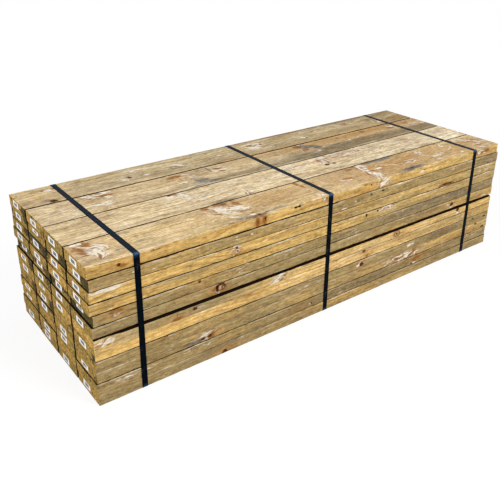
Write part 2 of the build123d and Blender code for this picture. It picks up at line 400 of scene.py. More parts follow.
# The same on the tops by column, with the share of the width from the back
TOP_MARKS = {
    "a": {
        "scar": (
            (70, 0.42, 50, 46, 0.9, 0.8), (85, 0.75, 16, 34, 0.9, 1.9), (680, 0.4, 62, 42, 1.0, 0.75),
            (1490, 0.5, 20, 85, 1.0, 1.75), (1330, 0.6, 60, 44, 0.45, 0.3), (1108, 0.9, 16, 16, 0.9, 1.2),
            (1235, 0.5, 40, 30, 0.4, 0.3), (1895, 0.3, 14, 50, 0.6, 1.7), (2095, 0.3, 16, 50, 0.6, 1.8),
            (1610, 0.4, 60, 30, 0.5, 0.2), (1790, 0.55, 70, 30, 0.5, 0.15), (1995, 0.6, 60, 30, 0.5, 0.2),
            (2310, 0.5, 80, 80, 0.6, 0.9),
        ),
        "pale": (
            (45, 0.05, 30, 9, 0.9), (112, 0.36, 16, 26, 1.0), (92, 0.66, 13, 22, 1.0),
            (492, 0.36, 60, 9, 0.45), (668, 0.30, 26, 26, 1.1), (712, 0.40, 34, 22, 1.1),
            (752, 0.52, 30, 10, 0.9), (748, 0.86, 12, 14, 0.8), (1130, 0.06, 8, 14, 0.6),
            (1330, 0.55, 30, 14, 0.5), (1500, 0.40, 14, 30, 0.95), (1524, 0.14, 10, 26, 0.8),
            (1512, 0.72, 20, 26, 0.9), (1480, 0.92, 14, 12, 1.0), (1922, 0.24, 10, 22, 0.9),
            (1914, 0.50, 12, 12, 0.7), (1936, 0.86, 14, 12, 0.8), (2096, 0.22, 10, 22, 0.9),
            (2122, 0.46, 9, 14, 0.7), (2118, 0.84, 16, 12, 0.8), (2222, 0.1, 14, 20, 0.8),
            (2300, 0.64, 34, 14, 0.7), (2280, 0.88, 30, 12, 0.8),
        ),
        "brown": (
            (765, 0.98, 34, 8, 0.9), (72, 0.14, 16, 22, 0.7), (20, 0.26, 22, 12, 0.5),
            (60, 0.57, 66, 3, 0.8), (35, 0.42, 34, 20, 0.35), (614, 0.05, 16, 16, 1.0),
            (690, 0.08, 30, 16, 0.9), (752, 0.18, 14, 26, 1.0), (420, 0.68, 150, 1.6, 0.5),
            (690, 0.73, 200, 1.6, 0.5), (1104, 0.10, 7, 20, 1.0), (1110, 0.30, 6, 18, 0.8),
            (905, 0.5, 10, 20, 0.35), (1430, 0.12, 40, 14, 0.4), (1730, 0.5, 90, 18, 0.35),
            (2330, 0.3, 40, 30, 0.35),
        ),
        "blue": (
            (245, 0.12, 15, 15, 0.46), (262, 0.36, 11, 12, 0.42), (262, 0.6, 21, 13, 0.42),
            (160, 0.7, 28, 15, 0.42), (745, 0.97, 44, 12, 1.0), (690, 0.9, 34, 8, 0.7),
            (640, 0.97, 40, 6, 0.6), (870, 0.9, 60, 9, 0.6), (1486, 0.58, 10, 8, 0.6),
            (1474, 0.02, 14, 7, 0.9), (1594, 0.03, 50, 12, 1.0), (1686, 0.03, 56, 14, 1.3),
            (1720, 0.93, 54, 14, 1.2),
        ),
        "dark": (
            (800, 0.93, 30, 5, 0.7), (70, 0.52, 6, 5, 0.5), (702, 0.06, 24, 7, 0.6),
            (744, 0.16, 10, 10, 0.5), (672, 0.36, 5, 4, 0.7), (706, 0.95, 12, 5, 0.8),
            (768, 0.94, 7, 7, 0.9), (850, 0.40, 6, 6, 0.4), (1612, 0.95, 16, 7, 0.6),
            (1705, 0.92, 34, 12, 0.6),
        ),
        "grey": ((30, 0.82, 26, 18, 0.6), (222, 0.10, 8, 24, 0.6), (668, 0.34, 9, 12, 0.8)),
        "cream": ((1380, 0.5, 170, 90, 0.25), (2310, 0.5, 90, 90, 0.25)),
        "tan": (
            (1650, 0.45, 420, 90, 0.65), (2200, 0.6, 200, 80, 0.5), (900, 0.35, 240, 60, 0.4),
            (60, 0.25, 70, 50, 0.5), (690, 0.2, 90, 50, 0.4),
        ),
    },
    "b": {
        "knot": ((561, 0.03, 6), (1402, 0.55, 11), (1446, 0.58, 7)),
        "scar": (
            (585, 0.12, 48, 16, 0.9, 0.2), (622, 0.32, 14, 34, 0.9, 1.1), (868, 0.85, 18, 24, 0.8, 1.8),
            (1420, 0.3, 40, 60, 0.8, 1.4), (1530, 0.2, 60, 30, 0.7, 0.3), (1680, 0.2, 24, 24, 0.7, 0.8),
            (2000, 0.45, 60, 50, 0.45, 0.4), (2270, 0.4, 80, 60, 0.4, 0.4),
        ),
        "pale": (
            (600, 0.15, 26, 14, 1.0), (626, 0.26, 18, 10, 0.9), (645, 0.45, 8, 34, 0.8),
            (664, 0.64, 18, 14, 0.7), (505, 0.34, 6, 14, 0.6), (560, 0.66, 90, 5, 0.5),
            (872, 0.82, 9, 16, 0.8), (862, 0.3, 26, 14, 0.5), (1020, 0.52, 60, 10, 0.5),
            (1260, 0.3, 90, 7, 0.8), (1200, 0.2, 40, 12, 0.6), (1436, 0.12, 22, 32, 0.9),
            (1422, 0.6, 14, 14, 0.8), (1528, 0.08, 40, 12, 0.7), (1590, 0.3, 60, 16, 0.7),
            (1690, 0.24, 20, 14, 0.9), (1800, 0.45, 120, 20, 0.4), (1960, 0.36, 10, 12, 0.9),
            (2030, 0.5, 34, 9, 0.8), (2110, 0.3, 60, 14, 0.5), (2260, 0.4, 90, 24, 0.4),
        ),
        "brown": (
            (1516, 0.16, 22, 12, 0.7), (1560, 0.38, 26, 7, 0.8), (2024, 0.28, 30, 26, 0.4),
            (2130, 0.7, 16, 6, 0.3),
        ),
        "blue": ((586, 0.12, 6, 6, 0.6), (730, 0.98, 60, 7, 0.9)),
        "dark": (
            (160, 0.85, 2, 12, 0.6), (152, 0.5, 4, 5, 0.4), (872, 0.98, 14, 9, 1.1),
            (1578, 0.68, 12, 5, 0.4), (1704, 0.2, 8, 4, 0.5), (1752, 0.72, 9, 5, 0.7),
        ),
        "grey": (
            (702, 0.43, 20, 12, 0.7), (750, 0.52, 40, 14, 0.5), (822, 0.72, 16, 10, 0.6),
            (302, 0.38, 6, 7, 0.7), (1440, 0.14, 14, 20, 0.35), (1466, 0.8, 26, 16, 0.7),
        ),
        "tan": ((1540, 0.3, 120, 40, 0.4), (2020, 0.3, 60, 50, 0.4)),
    },
    "c": {
        "knot": ((1732, 0.18, 7), (1926, 0.16, 7)),
        "scar": (
            (290, 0.18, 50, 26, 0.9, 0.2), (300, 0.62, 46, 14, 0.8, 0.1), (935, 0.3, 34, 30, 0.7, 0.3),
            (760, 0.4, 50, 60, 0.35, 0.5), (1490, 0.7, 20, 20, 0.6, 1.0), (2140, 0.3, 24, 40, 0.6, 1.0),
            (2310, 0.4, 60, 50, 0.4, 0.4),
        ),
        "pale": (
            (262, 0.12, 20, 22, 0.9), (320, 0.08, 44, 14, 1.0), (346, 0.34, 16, 14, 1.0),
            (300, 0.60, 50, 9, 1.0), (312, 0.70, 16, 14, 0.8), (100, 0.45, 90, 8, 0.5),
            (110, 0.60, 90, 9, 0.5), (692, 0.58, 20, 10, 0.8), (950, 0.37, 16, 8, 1.0),
            (1486, 0.02, 22, 10, 0.7), (1514, 0.64, 12, 12, 0.8), (2150, 0.2, 18, 12, 0.9),
            (1770, 0.46, 12, 5, 0.7), (2320, 0.5, 60, 18, 0.5),
        ),
        "brown": (
            (280, 0.16, 10, 18, 0.9), (330, 0.24, 34, 9, 1.0), (320, 0.42, 26, 12, 0.35),
            (690, 0.17, 36, 12, 0.8), (926, 0.22, 20, 16, 0.8), (1444, 0.14, 18, 14, 1.1),
            (1462, 0.42, 18, 12, 0.9), (1730, 0.2, 26, 9, 0.6), (1926, 0.16, 30, 10, 0.6),
            (2124, 0.34, 24, 14, 0.7), (2270, 0.2, 34, 22, 0.4),
        ),
        "blue": (
            (776, 0.72, 34, 26, 0.8), (810, 0.85, 34, 12, 0.8), (726, 0.95, 40, 7, 0.6),
            (878, 0.2, 6, 30, 0.9), (1470, 0.16, 22, 16, 1.4), (1506, 0.28, 30, 14, 1.4),
            (1540, 0.44, 18, 16, 1.2), (1524, 0.84, 14, 14, 0.6),
        ),
        "dark": ((1090, 0.5, 8, 7, 0.5), (1398, 0.62, 20, 5, 0.4), (1660, 0.2, 8, 4, 0.5)),
        "grey": (
            (752, 0.1, 30, 20, 0.5), (782, 0.3, 22, 22, 0.8), (830, 0.14, 20, 20, 0.7),
            (850, 0.88, 34, 14, 0.8), (930, 0.88, 14, 8, 0.6),
        ),
        "tan": ((1850, 0.18, 560, 40, 0.7), (720, 0.25, 180, 40, 0.35), (300, 0.3, 90, 50, 0.4)),
        "olive": (
            (1150, 0.88, 320, 30, 0.8), (1560, 0.76, 200, 40, 0.7), (1900, 0.72, 420, 42, 1.2),
            (2310, 0.85, 90, 26, 0.9),
        ),
        "gold": ((1950, 0.2, 260, 30, 0.4),),
    },
    "d": {
        "knot": ((133, 0.92, 13), (521, 0.6, 8), (1272, 0.42, 6), (1318, 0.42, 6)),
        "scar": (
            (145, 0.27, 24, 20, 0.8, 0.4), (505, 0.62, 26, 22, 0.6, 0.4), (790, 0.55, 40, 36, 0.5, 0.6),
            (1265, 0.48, 44, 36, 0.9, 0.5), (1595, 0.62, 30, 18, 0.6, 0.3),
            (1950, 0.36, 80, 24, 0.45, 0.2), (2160, 0.6, 24, 40, 0.6, 1.2),
        ),
        "pale": (
            (150, 0.27, 14, 10, 1.1), (136, 0.2, 5, 18, 0.7), (500, 0.68, 16, 16, 0.8),
            (566, 0.24, 10, 22, 0.8), (604, 0.66, 20, 8, 0.8), (800, 0.55, 12, 22, 0.8),
            (760, 0.6, 20, 10, 0.5), (1039, 0.52, 10, 10, 0.9), (1092, 0.54, 8, 12, 0.9),
            (1262, 0.55, 34, 20, 1.2), (1298, 0.35, 22, 14, 1.0), (1222, 0.45, 26, 8, 0.5),
            (1342, 0.72, 10, 8, 0.8), (1586, 0.62, 12, 9, 1.0), (1720, 0.36, 60, 8, 0.5),
            (1920, 0.36, 60, 10, 0.6), (1980, 0.32, 20, 12, 0.6), (2158, 0.74, 10, 14, 0.8),
        ),
        "brown": (
            (178, 0.25, 7, 12, 0.7), (530, 0.45, 8, 30, 0.35), (1058, 0.6, 26, 5, 0.4),
            (1620, 0.04, 560, 9, 0.5), (2160, 0.62, 12, 12, 1.0),
        ),
        "blue": ((108, 0.82, 16, 12, 0.7),),
        "dark": (
            (133, 0.92, 14, 7, 0.9), (18, 0.22, 10, 4, 0.5), (1606, 0.68, 10, 7, 0.8),
            (360, 0.3, 2, 20, 0.4),
        ),
        "grey": (
            (18, 0.76, 12, 14, 0.7), (770, 0.62, 30, 22, 0.6), (1380, 0.7, 26, 16, 0.5),
            (2130, 0.44, 18, 18, 0.7),
        ),
        "tan": ((2320, 0.8, 100, 40, 0.4), (1650, 0.92, 500, 16, 0.35)),
        "olive": (
            (800, 0.8, 420, 34, 0.3), (1700, 0.06, 640, 20, 0.5), (2320, 0.72, 80, 34, 0.5),
            (420, 0.6, 120, 40, 0.2),
        ),
        "gold": ((90, 0.55, 80, 60, 0.3),),
    },
}

# Damp stains on the near ends by sleeper: share of the width from the back, half width in
# mm, share of the height, half height in mm, strength
END_STAINS = {
    "12d": ((0.93, 26, 0.5, 40, 1.0), (0.14, 14, 0.75, 8, 0.6), (0.7, 10, 0.5, 6, 0.8)),
    "11d": ((0.92, 24, 0.8, 16, 0.8), (0.05, 14, 0.6, 20, 0.5)), "10d": ((0.88, 26, 0.8, 18, 1.0),),
    "09d": ((0.1, 20, 0.9, 8, 0.4),), "08d": ((0.40, 110, 0.75, 22, 1.1), (0.08, 22, 0.4, 30, 0.9)),
    "07d": ((0.88, 24, 0.5, 40, 0.9),), "05d": ((0.9, 22, 0.5, 26, 0.8),),
    "03d": ((0.92, 18, 0.4, 20, 0.5),), "12c": ((0.9, 14, 0.3, 14, 0.6),),
    "10c": ((0.35, 90, 0.8, 24, 1.1), (0.88, 30, 0.55, 40, 1.0)), "09c": ((0.94, 12, 0.3, 20, 0.5),),
    "08c": ((0.4, 120, 0.75, 20, 1.0), (0.9, 34, 0.4, 36, 1.0)), "07c": ((0.88, 26, 0.7, 26, 0.7),),
    "05c": ((0.9, 24, 0.5, 36, 1.0),), "04c": ((0.3, 60, 0.96, 6, 0.8), (0.8, 40, 0.95, 8, 0.7)),
    "02c": ((0.5, 90, 0.96, 5, 0.4),), "11b": ((0.90, 36, 0.5, 34, 1.2), (0.72, 16, 0.2, 12, 0.9)),
    "10b": ((0.06, 16, 0.7, 26, 0.7), (0.9, 16, 0.5, 26, 0.5)),
    "08b": ((0.45, 120, 0.78, 18, 1.0), (0.06, 20, 0.5, 24, 0.9)), "07b": ((0.9, 14, 0.5, 20, 0.4),),
    "05b": ((0.9, 16, 0.7, 14, 0.6),), "03b": ((0.95, 12, 0.4, 24, 0.4),),
    "11a": ((0.86, 34, 0.5, 40, 1.2),),
    "08a": ((0.25, 56, 0.6, 40, 1.1), (0.82, 40, 0.55, 40, 1.1), (0.5, 60, 0.85, 10, 1.0)),
    "06a": ((0.4, 80, 0.03, 4, 0.6),), "05a": ((0.92, 14, 0.25, 14, 0.9),),
    "04a": ((0.86, 20, 0.85, 10, 0.5),), "03a": ((0.9, 18, 0.3, 20, 0.5),),
    "02a": ((0.5, 90, 0.96, 4, 0.4),),
}

# How much stronger the damp stains are than written, how dark the painted shade beside the gaps is,
# the share of its width on the far ends, and how wide the stains of the far ends are
END_STAIN_GAIN = 1.3
GAP_SHADE = 1.2
FAR_GAP_SHARE = 0.4
FAR_STAIN = 40 * MM

# Labels on the near ends by column, lowest course first. Their middles lie this far from the
# middle of the end towards the back, and that varies across and up.
LABEL_ROWS = {
    "a": "x.x.x.xxxxxx",
    "b": "x.xx.xxxxxxx",
    "c": "xx.xxxxxxxxx",
    "d": "x.xx.xxxxxxx",
}
LABEL_OFFSET = 14 * MM
LABEL_SPREAD = 6 * MM
LABEL_LIFT = 4 * MM

# Labels of which only a strip is left: share of the height that stays, and how far up it
# sits in half heights
TORN_LABELS = {
    "11c": (0.62, 0.30), "08a": (0.55, 0.10), "07d": (0.80, 0.0), "06c": (0.55, 0.30),
    "03d": (0.55, -0.1), "04d": (0.7, 0.0), "03a": (0.8, 0.0),
}

# Points along and up a label, the mean bulge of its film and the air behind it
LABEL_GRID = (9, 5)
LABEL_BULGE = 0.09 * MM
LABEL_AIR = 0.01 * MM

# Straps: points round a bend, two distances before and after it, the share of the painted
# highlight at those, the stations of the overlap in half lengths, and how rubbed straps and seals are
BEND_POINTS = 7
BEND_LEAD = np.array([18, 6]) * MM
BEND_HIGHLIGHT = (0, 0.2)
TAIL_STATIONS = np.array([-1, -0.995, -0.5, 0, 0.5, 0.995, 1])
STRAP_SCUFFING = 0.7
SEAL_SCUFFING = 1.0

# Camera: width of its sensor in mm and how far it sees in metres
SENSOR_WIDTH = 36
CLIP_END = 100

# Soft lamps: name, place, size and power. The key stands in front and to the right, the fill
# at the near end and one lamp overhead.
LAMPS = (
    ("key", (1.2, -4.4, 4.0), 2.6, 210),
    ("fill", (-5.0, -1.0, 3.0), 2.6, 120),
    ("top", (0.2, 0.6, 5.0), 3.0, 36),
)
LAMP_TARGET = (0, 0, 0.3)

# The floor reaches this far. Near the bundle, inside an oval, it glows a little less than
# white and takes the shadow, and further out it is white.
FLOOR_HALF = 30.0
FLOOR_OVAL = (0.62, 1.0, 0.0)
FLOOR_NEAR = 0.9
FLOOR_FAR = 1.9
FLOOR_GLOW = 0.86
FLOOR_SHADE = (0.16, 0.16, 0.16, 1)
WHITE = (1, 1, 1, 1)


def linear(code):
    """Returns an sRGB hex colour as linear red, green and blue."""
    shares = [int(code[place:place + 2], 16) / 255 for place in (1, 3, 5)]
    return tuple(s / 12.92 if s <= 0.04045 else ((s + 0.055) / 1.055) ** 2.4 for s in shares)


def colour(code, name, description):
    """Returns a colour property with an sRGB hex default."""
    return bpy.props.FloatVectorProperty(
        name=name, description=description, default=linear(code), subtype="COLOR", size=3, min=0, max=1
    )


def length(default, name, description):
    """Returns a length property in metres, with its default in millimetres."""
    return bpy.props.FloatProperty(
        name=name, description=description, default=default * MM, min=0, unit="LENGTH", precision=4
    )


def angle(default, name, description):
    """Returns an angle property with its default in degrees."""
    return bpy.props.FloatProperty(
        name=name, description=description, default=math.radians(default), subtype="ANGLE"
    )


def share(default, name, description):
    """Returns a property from nothing to a few times over."""
    return bpy.props.FloatProperty(name=name, description=description, default=default, min=0, max=4)


class SleeperLook(bpy.types.PropertyGroup):
    """Sizes and colours of the sawn pine sleepers."""

    ring_spacing: length(10, "Ring spacing", "Distance between growth rings, drawn a little coarse")
    fibre_width: length(3.2, "Fibre width", "Width of a streak of fibres")
    fibre_length: length(95, "Fibre length", "Length of a streak of fibres")
    station_step: length(6.4, "Station step", "Distance between sections on the sides that show")
    across_step: length(5.2, "Across step", "Distance between points across the sides that show")
    arris: length(2.2, "Arris", "Usual roundness of the long edges")
    end_arris: length(0.6, "End arris", "Width of the worn edge round a sawn end")
    torn_depth: length(1.1, "Torn depth", "Depth of a torn patch")
    # Widths of the painted shade beside the gaps and of the painted shade and grime beside the joints
    gap_shade: length(5.2, "Gap shade", "Width of the dark edge on an end beside a gap")
    seam_shade_and_grime: length(2.8, "Seam shade and grime", "Width of the dark edge on an end beside a joint")
    gold: colour("#D9B36C", "Gold", "Freshly sawn treated pine")
    olive: colour("#A28E62", "Olive", "Pine that the weather has turned")
    grey: colour("#80755C", "Grey", "Pine that the weather has greyed")
    # Bleached colour of the tops and of chipped knots; on the tops partly painted sky sheen
    bleached: colour("#E4D8BB", "Bleached", "Sun-bleached tops")
    latewood: colour("#9A6A30", "Latewood", "Dark part of a growth ring")
    tan: colour("#AC7E44", "Tan", "Stretches that the resin has turned brown")
    torn: colour("#F5ECD8", "Torn fibre", "Torn and dried fibres")
    resin: colour("#8E5826", "Resin", "Resin and bark stains")
    blue_stain: colour("#5C6068", "Blue stain", "Grey-blue stain in the sapwood")
    # The streak colour also paints the shade in joints, gaps, the wane and on hidden sides
    streak: colour("#0F0803", "Streak", "Pitch streaks, small holes and painted shade")
    knot: colour("#5E351D", "Knot", "Heart of a knot")
    knot_rim: colour("#2B1710", "Knot rim", "Bark ring round a knot")
    pale_knot: colour("#EBDBAC", "Pale knot", "Live knot that is paler than the wood")
    end_gold: colour("#C49E56", "End gold", "Sawn end grain")
    end_olive: colour("#6E6236", "End olive", "Sawn end grain that has weathered")
    damp: colour("#23291E", "Damp", "Damp stain on the ends")


class StrapLook(bpy.types.PropertyGroup):
    """Sizes and colours of the steel straps and their seals."""

    width: length(25, "Width", "Width of a strap")
    thickness: length(0.9, "Thickness", "Thickness of a strap")
    edge: length(0.25, "Edge", "Roundness of the strap's edges")
    bend: length(2.5, "Bend", "Inner radius of a strap at the corners of the stack")
    overlap: length(130, "Overlap", "Length where the strap's ends lie on each other")
    paint: colour("#010710", "Paint", "Black paint with a blue cast")
    # Painted sky reflection along the middle of the strap
    sky_sheen: colour("#1F3348", "Sky sheen", "Painted sky reflection along the middle of the strap, most on the top")
    # Painted highlight where the strap bends over an arris
    bend_highlight: colour("#4F6F9E", "Bend highlight", "Painted highlight where the strap bends over an arris")
    scuff: colour("#101620", "Scuff", "Paint that has rubbed thin")
    dust: colour("#8C7F66", "Dust", "Sawdust on the paint")


class LabelLook(bpy.types.PropertyGroup):
    """Sizes and colours of the plain labels on the near ends."""

    width: length(64, "Width", "Width of a label")
    height: length(27, "Height", "Height of a label")
    thickness: length(0.18, "Thickness", "Thickness of the film")
    film: colour("#FFFFFF", "Film", "White film")
    ink: colour("#1A1A28", "Ink", "Dark bars")
    grime: colour("#B9A57C", "Grime", "Dirt on the film")


class StageLook(bpy.types.PropertyGroup):
    """Camera, lamps and floor."""

    lens: bpy.props.FloatProperty(
        name="Lens", description="Focal length on a 36 mm frame", default=47.581, min=1, unit="CAMERA"
    )
    place: bpy.props.FloatVectorProperty(
        name="Place", description="Where the camera stands", default=(-1.9371, -2.3631, 1.7286),
        size=3, subtype="TRANSLATION",
    )
    heading: angle(36.56, "Heading", "Turn of the camera to the right of the Y axis")
    dip: angle(23.25, "Dip", "Tilt of the camera below level")
    roll: angle(0.47, "Roll", "Turn of the camera about its own axis")
    shift: bpy.props.FloatProperty(
        name="Shift", description="Upward shift of the frame", default=-0.1, min=-1, max=1
    )
    sky: share(0.36, "Sky", "Strength of the even light from all round")
    floor: colour("#CFCFCC", "Floor", "Pale floor")


# The setting that a node's mode is written in
NODE_MODES = {
    "Math": "operation", "VectorMath": "operation", "MapRange": "interpolation_type",
    "Mix": "data_type", "VectorRotate": "rotation_type",
}


def node(tree, kind, *values, inputs=None, **settings):
    """Adds a shader node, named by its kind and where it has one its mode, with its settings,
    and sets or links its open inputs, first those given in order and then those given by
    name. Returns its first open output."""
    kind, _, mode = kind.partition(" ")
    made = tree.nodes.new("ShaderNode" + kind)
    if mode:
        setattr(made, NODE_MODES[kind], mode)
    for name, value in settings.items():
        setattr(made, name, value)
    sockets = [socket for socket in made.inputs if socket.enabled]
    pairs = list(zip(sockets, values))
    for name, value in (inputs or {}).items():
        pairs.append((next(socket for socket in sockets if socket.name == name), value))
    for socket, value in pairs:
        if isinstance(value, bpy.types.NodeSocket):
            tree.links.new(value, socket)
        else:
            socket.default_value = value
    return next((socket for socket in made.outputs if socket.enabled), None)


def opaque(rgb):
    """Returns a linear colour with full cover."""
    return (*rgb, 1.0)


def new_material(name):
    """Returns an empty node material and its tree."""
    material = bpy.data.materials.new(name)
    material.use_nodes = True
    material.node_tree.nodes.clear()
    return material, material.node_tree


def speckle(tree, place, sizes, detail, roughness, shift=None):
    """Returns a noise whose patches have these sizes in mm along the three axes of a place,
    drawn aside by the shift."""
    scales = tuple(1 / (size * MM) for size in sizes)
    scaled = node(tree, "VectorMath MULTIPLY", place, scales)
    if shift is not None:
        scaled = node(tree, "VectorMath ADD", scaled, shift)
    return node(tree, "TexNoise", inputs={
        "Vector": scaled, "Scale": 1.0, "Detail": detail, "Roughness": roughness,
    })


def edged(tree, mask, breaker, amount, low, high):
    """Returns a mask with torn edges: a noise lifts and lowers it before it is cut off."""
    lift = node(tree, "Math MULTIPLY_ADD", breaker, amount, 1.0)
    broken = node(tree, "Math MULTIPLY", lift, mask)
    return node(tree, "MapRange SMOOTHSTEP", broken, low, high)


def ripple(x, seed, wave):
    """Returns a smooth wobble from about -1 to 1: five sines whose wave lengths lie round
    the one given and whose phases follow the seed."""
    rng = np.random.default_rng(seed)
    waves = wave * rng.uniform(0.45, 1.8, 5)
    phases = rng.uniform(0, 2 * math.pi, 5)
    return np.sin(2 * math.pi * x[..., None] / waves + phases).sum(-1) / 2.6


def rough(x, t, seed, long_wave, cross_wave):
    """Returns a smooth two-way wobble from about -1 to 1: seven plane waves that are long
    along the grain and short across it."""
    rng = np.random.default_rng(seed)
    along = rng.uniform(-1.6, 1.6, 7) / long_wave
    across = rng.uniform(-1.6, 1.6, 7) / cross_wave
    phases = rng.uniform(0, 2 * math.pi, 7)
    return np.sin(2 * math.pi * (x[..., None] * along + t[..., None] * across) + phases).sum(-1) / 3


def nicks(x, seed):
    """Returns how much more an arris is worn along its length: a sum of short bells at
    seeded places, each 10 to 45 mm long."""
    rng = np.random.default_rng(seed)
    places = rng.uniform(x.min(), x.max(), NICK_COUNT)
    lengths = rng.uniform(5, 22, NICK_COUNT) * MM
    depths = rng.uniform(0, NICK_DEPTH, NICK_COUNT)
    return (depths * np.exp(-((x[:, None] - places) / lengths) ** 2)).sum(1)


def bell(across, up):
    """Returns a bell over an ellipse, from the shares of its half width and half height."""
    return np.exp(-MARK_FALL * (across ** 2 + up ** 2))


def turned(dx, dt, slant):
    """Returns how far points lie along and across a slanted direction."""
    return dx * math.cos(slant) + dt * math.sin(slant), dt * math.cos(slant) - dx * math.sin(slant)


def fade(pair, way):
    """Returns a value that goes evenly from the first of a pair to the second."""
    return pair[0] + (pair[1] - pair[0]) * way


def fill_mesh(name, points, quads, triangles=None):
    """Makes a smooth-shaded mesh from points, quads and triangles, with creases sharp."""
    mesh = bpy.data.meshes.new(name)
    corners = [quads.ravel()]
    sizes = [np.full(len(quads), 4)]
    if triangles is not None:
        corners.append(triangles.ravel())
        sizes.append(np.full(len(triangles), 3))
    corners = np.concatenate(corners).astype(np.int32)
    sizes = np.concatenate(sizes)
    starts = np.concatenate([[0], np.cumsum(sizes)[:-1]]).astype(np.int32)
    mesh.vertices.add(len(points))
    mesh.vertices.foreach_set("co", points.astype(np.float32).ravel())
    mesh.loops.add(len(corners))
    mesh.loops.foreach_set("vertex_index", corners)
    mesh.polygons.add(len(sizes))
    mesh.polygons.foreach_set("loop_start", starts)
    mesh.update(calc_edges=True)
    mesh.polygons.foreach_set("use_smooth", np.ones(len(sizes), dtype=bool))
    mesh.set_sharp_from_angle(angle=CREASE)
    if mesh.validate():
        raise RuntimeError(f"{name} has bad faces")
    return mesh


def store(mesh, title, kind, field, values):
    """Stores values on the points of a mesh as an attribute."""
    attribute = mesh.attributes.new(title, kind, "POINT")
    attribute.data.foreach_set(field, values.astype(np.float32).ravel())


def place_piece(mesh, material, name):
    """Puts a finished mesh into the scene under the root, and hides the node it stands for."""
    piece = bpy.data.objects.new(mesh.name, mesh)
    bpy.context.scene.collection.objects.link(piece)
    mesh.materials.append(material)
    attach(piece, "root")
    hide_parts(name)


def tube_quads(rows, columns, closed=False):
    """Returns the quads of a grid whose columns, and if it is closed also its rows, come
    round to the first, facing outwards when the columns run counter-clockwise seen from
    the far end."""
    row = np.arange(rows if closed else rows - 1)[:, None]
    here = np.arange(columns)[None, :]
    following = (here + 1) % columns
    first, second = row * columns, (row + 1) % rows * columns
    return np.stack(
        [first + here, first + following, second + following, second + here], -1
    ).reshape(-1, 4)


def section_points(low, high, x, counts, bends, worn_in, worn_out, fullness):
    """Carries a sleeper's section along its length. At each station the section is a
    rectangle whose corners are quadratic curves: each curve leaves the incoming side
    worn_in before the corner, joins the outgoing side worn_out after it, and is pulled
    towards the corner by its fullness. Returns the points, and for each column its side,
    its outward direction, its corner or -1, and how far round the corner it lies."""
    corner = np.array([[low[1], low[2]], [high[1], low[2]], [high[1], high[2]], [low[1], high[2]]])
    outward = np.array([[0, -1], [1, 0], [0, 1], [-1, 0]], float)

    # A side runs in the direction in which the next one faces
    start = corner - outward * worn_in[..., None]
    stop = corner + np.roll(outward, -1, axis=0) * worn_out[..., None]
    middle = (start + stop) / 2
    pull = middle + fullness[..., None] * (corner - middle)
    parts = []
    sides = []
    normals = []
    corners = []
    turns = []
    for place in range(4):
        s = np.linspace(0, 1, bends[place])[None, :, None]
        a, b, k = start[:, place, None], stop[:, place, None], pull[:, place, None]
        parts.append((1 - s) ** 2 * a + 2 * s * (1 - s) * k + s ** 2 * b)
        turn = (1 - s[0]) * outward[place - 1] + s[0] * outward[place]
        normals.append(turn / np.linalg.norm(turn, axis=1, keepdims=True))
        sides.append(np.where(s[0, :, 0] < 0.5, (place - 1) % 4, place))
        n = counts[place]
        corners.append(np.repeat([place, -1], [bends[place], n]))
        turns.append(np.append(s[0, :, 0], np.zeros(n)))
        along = (np.arange(1, n + 1) / (n + 1))[None, :, None]
        parts.append(b * (1 - along) + start[:, (place + 1) % 4, None] * along)
        normals.append(np.repeat(outward[place][None], n, 0))
        sides.append(np.full(n, place))
    section = np.concatenate(parts, 1)
    points = np.concatenate([np.broadcast_to(x[:, None, None], section.shape[:2] + (1,)), section], -1)
    return (points, *(np.concatenate(values) for values in (sides, normals, corners, turns)))


def scar_streaks(scar, width):
    """Returns the marks of a scar where the saw or a fork has torn the wood: a wash of
    cream with seeded pale and brown streaks inside its ellipse that run nearly one way."""
    place, rise, half_length, half_height, strength, slant = scar
    rng = np.random.default_rng(int(place * 7 + 1000 * rise))
    streaks = [("cream", (place, rise, half_length, half_height, SCAR_WASH * strength))]
    for _ in range(int(np.clip(half_length * half_height / SCAR_AREA, *SCAR_STREAKS))):
        kind = rng.choice(["pale", "pale", "brown"])
        shift = rng.normal(0, SCAR_SPREAD, 2)
        reach = max(12, rng.uniform(0.3, 0.7) * max(half_length, half_height))
        streaks.append((kind, (
            place + shift[0] * half_length, rise + shift[1] * half_height * MM / width,
            reach, rng.uniform(5, 9), strength * rng.uniform(0.7, 1.1), slant + rng.normal(0, 0.25),
        )))
    return streaks


def chance_marks(rng, span):
    """Returns seeded marks for a side without listed marks, by kind: knots in stretches
    of tan, scars, resin and stains along its length, all in mm."""
    marks = {}
    for place in rng.uniform(60, span - 60, CHANCE_COUNT):
        kind = rng.choice(CHANCE_KINDS)
        rise = rng.uniform(0.15, 0.85)
        strength = rng.uniform(0.5, 0.9)
        if kind in ("knot", "live knot"):
            radius = rng.uniform(4, 11)
            marks.setdefault("tan", []).append((place, rise, 5 * radius, 2 * radius, 0.6))
            mark = (place, rise, radius if kind == "knot" else -radius)
            kind = "knot"
        elif kind == "scar":
            mark = (place, rise, rng.uniform(20, 60), 12, strength, rng.uniform(-0.5, 0.5))
        elif kind in ("tan", "olive"):
            mark = (place, rise, rng.uniform(60, 300), 24, 0.6 * strength)
        else:
            mark = (place, rise, rng.uniform(6, 30), rng.uniform(3, 7), strength)
        marks.setdefault(kind, []).append(mark)
    return marks


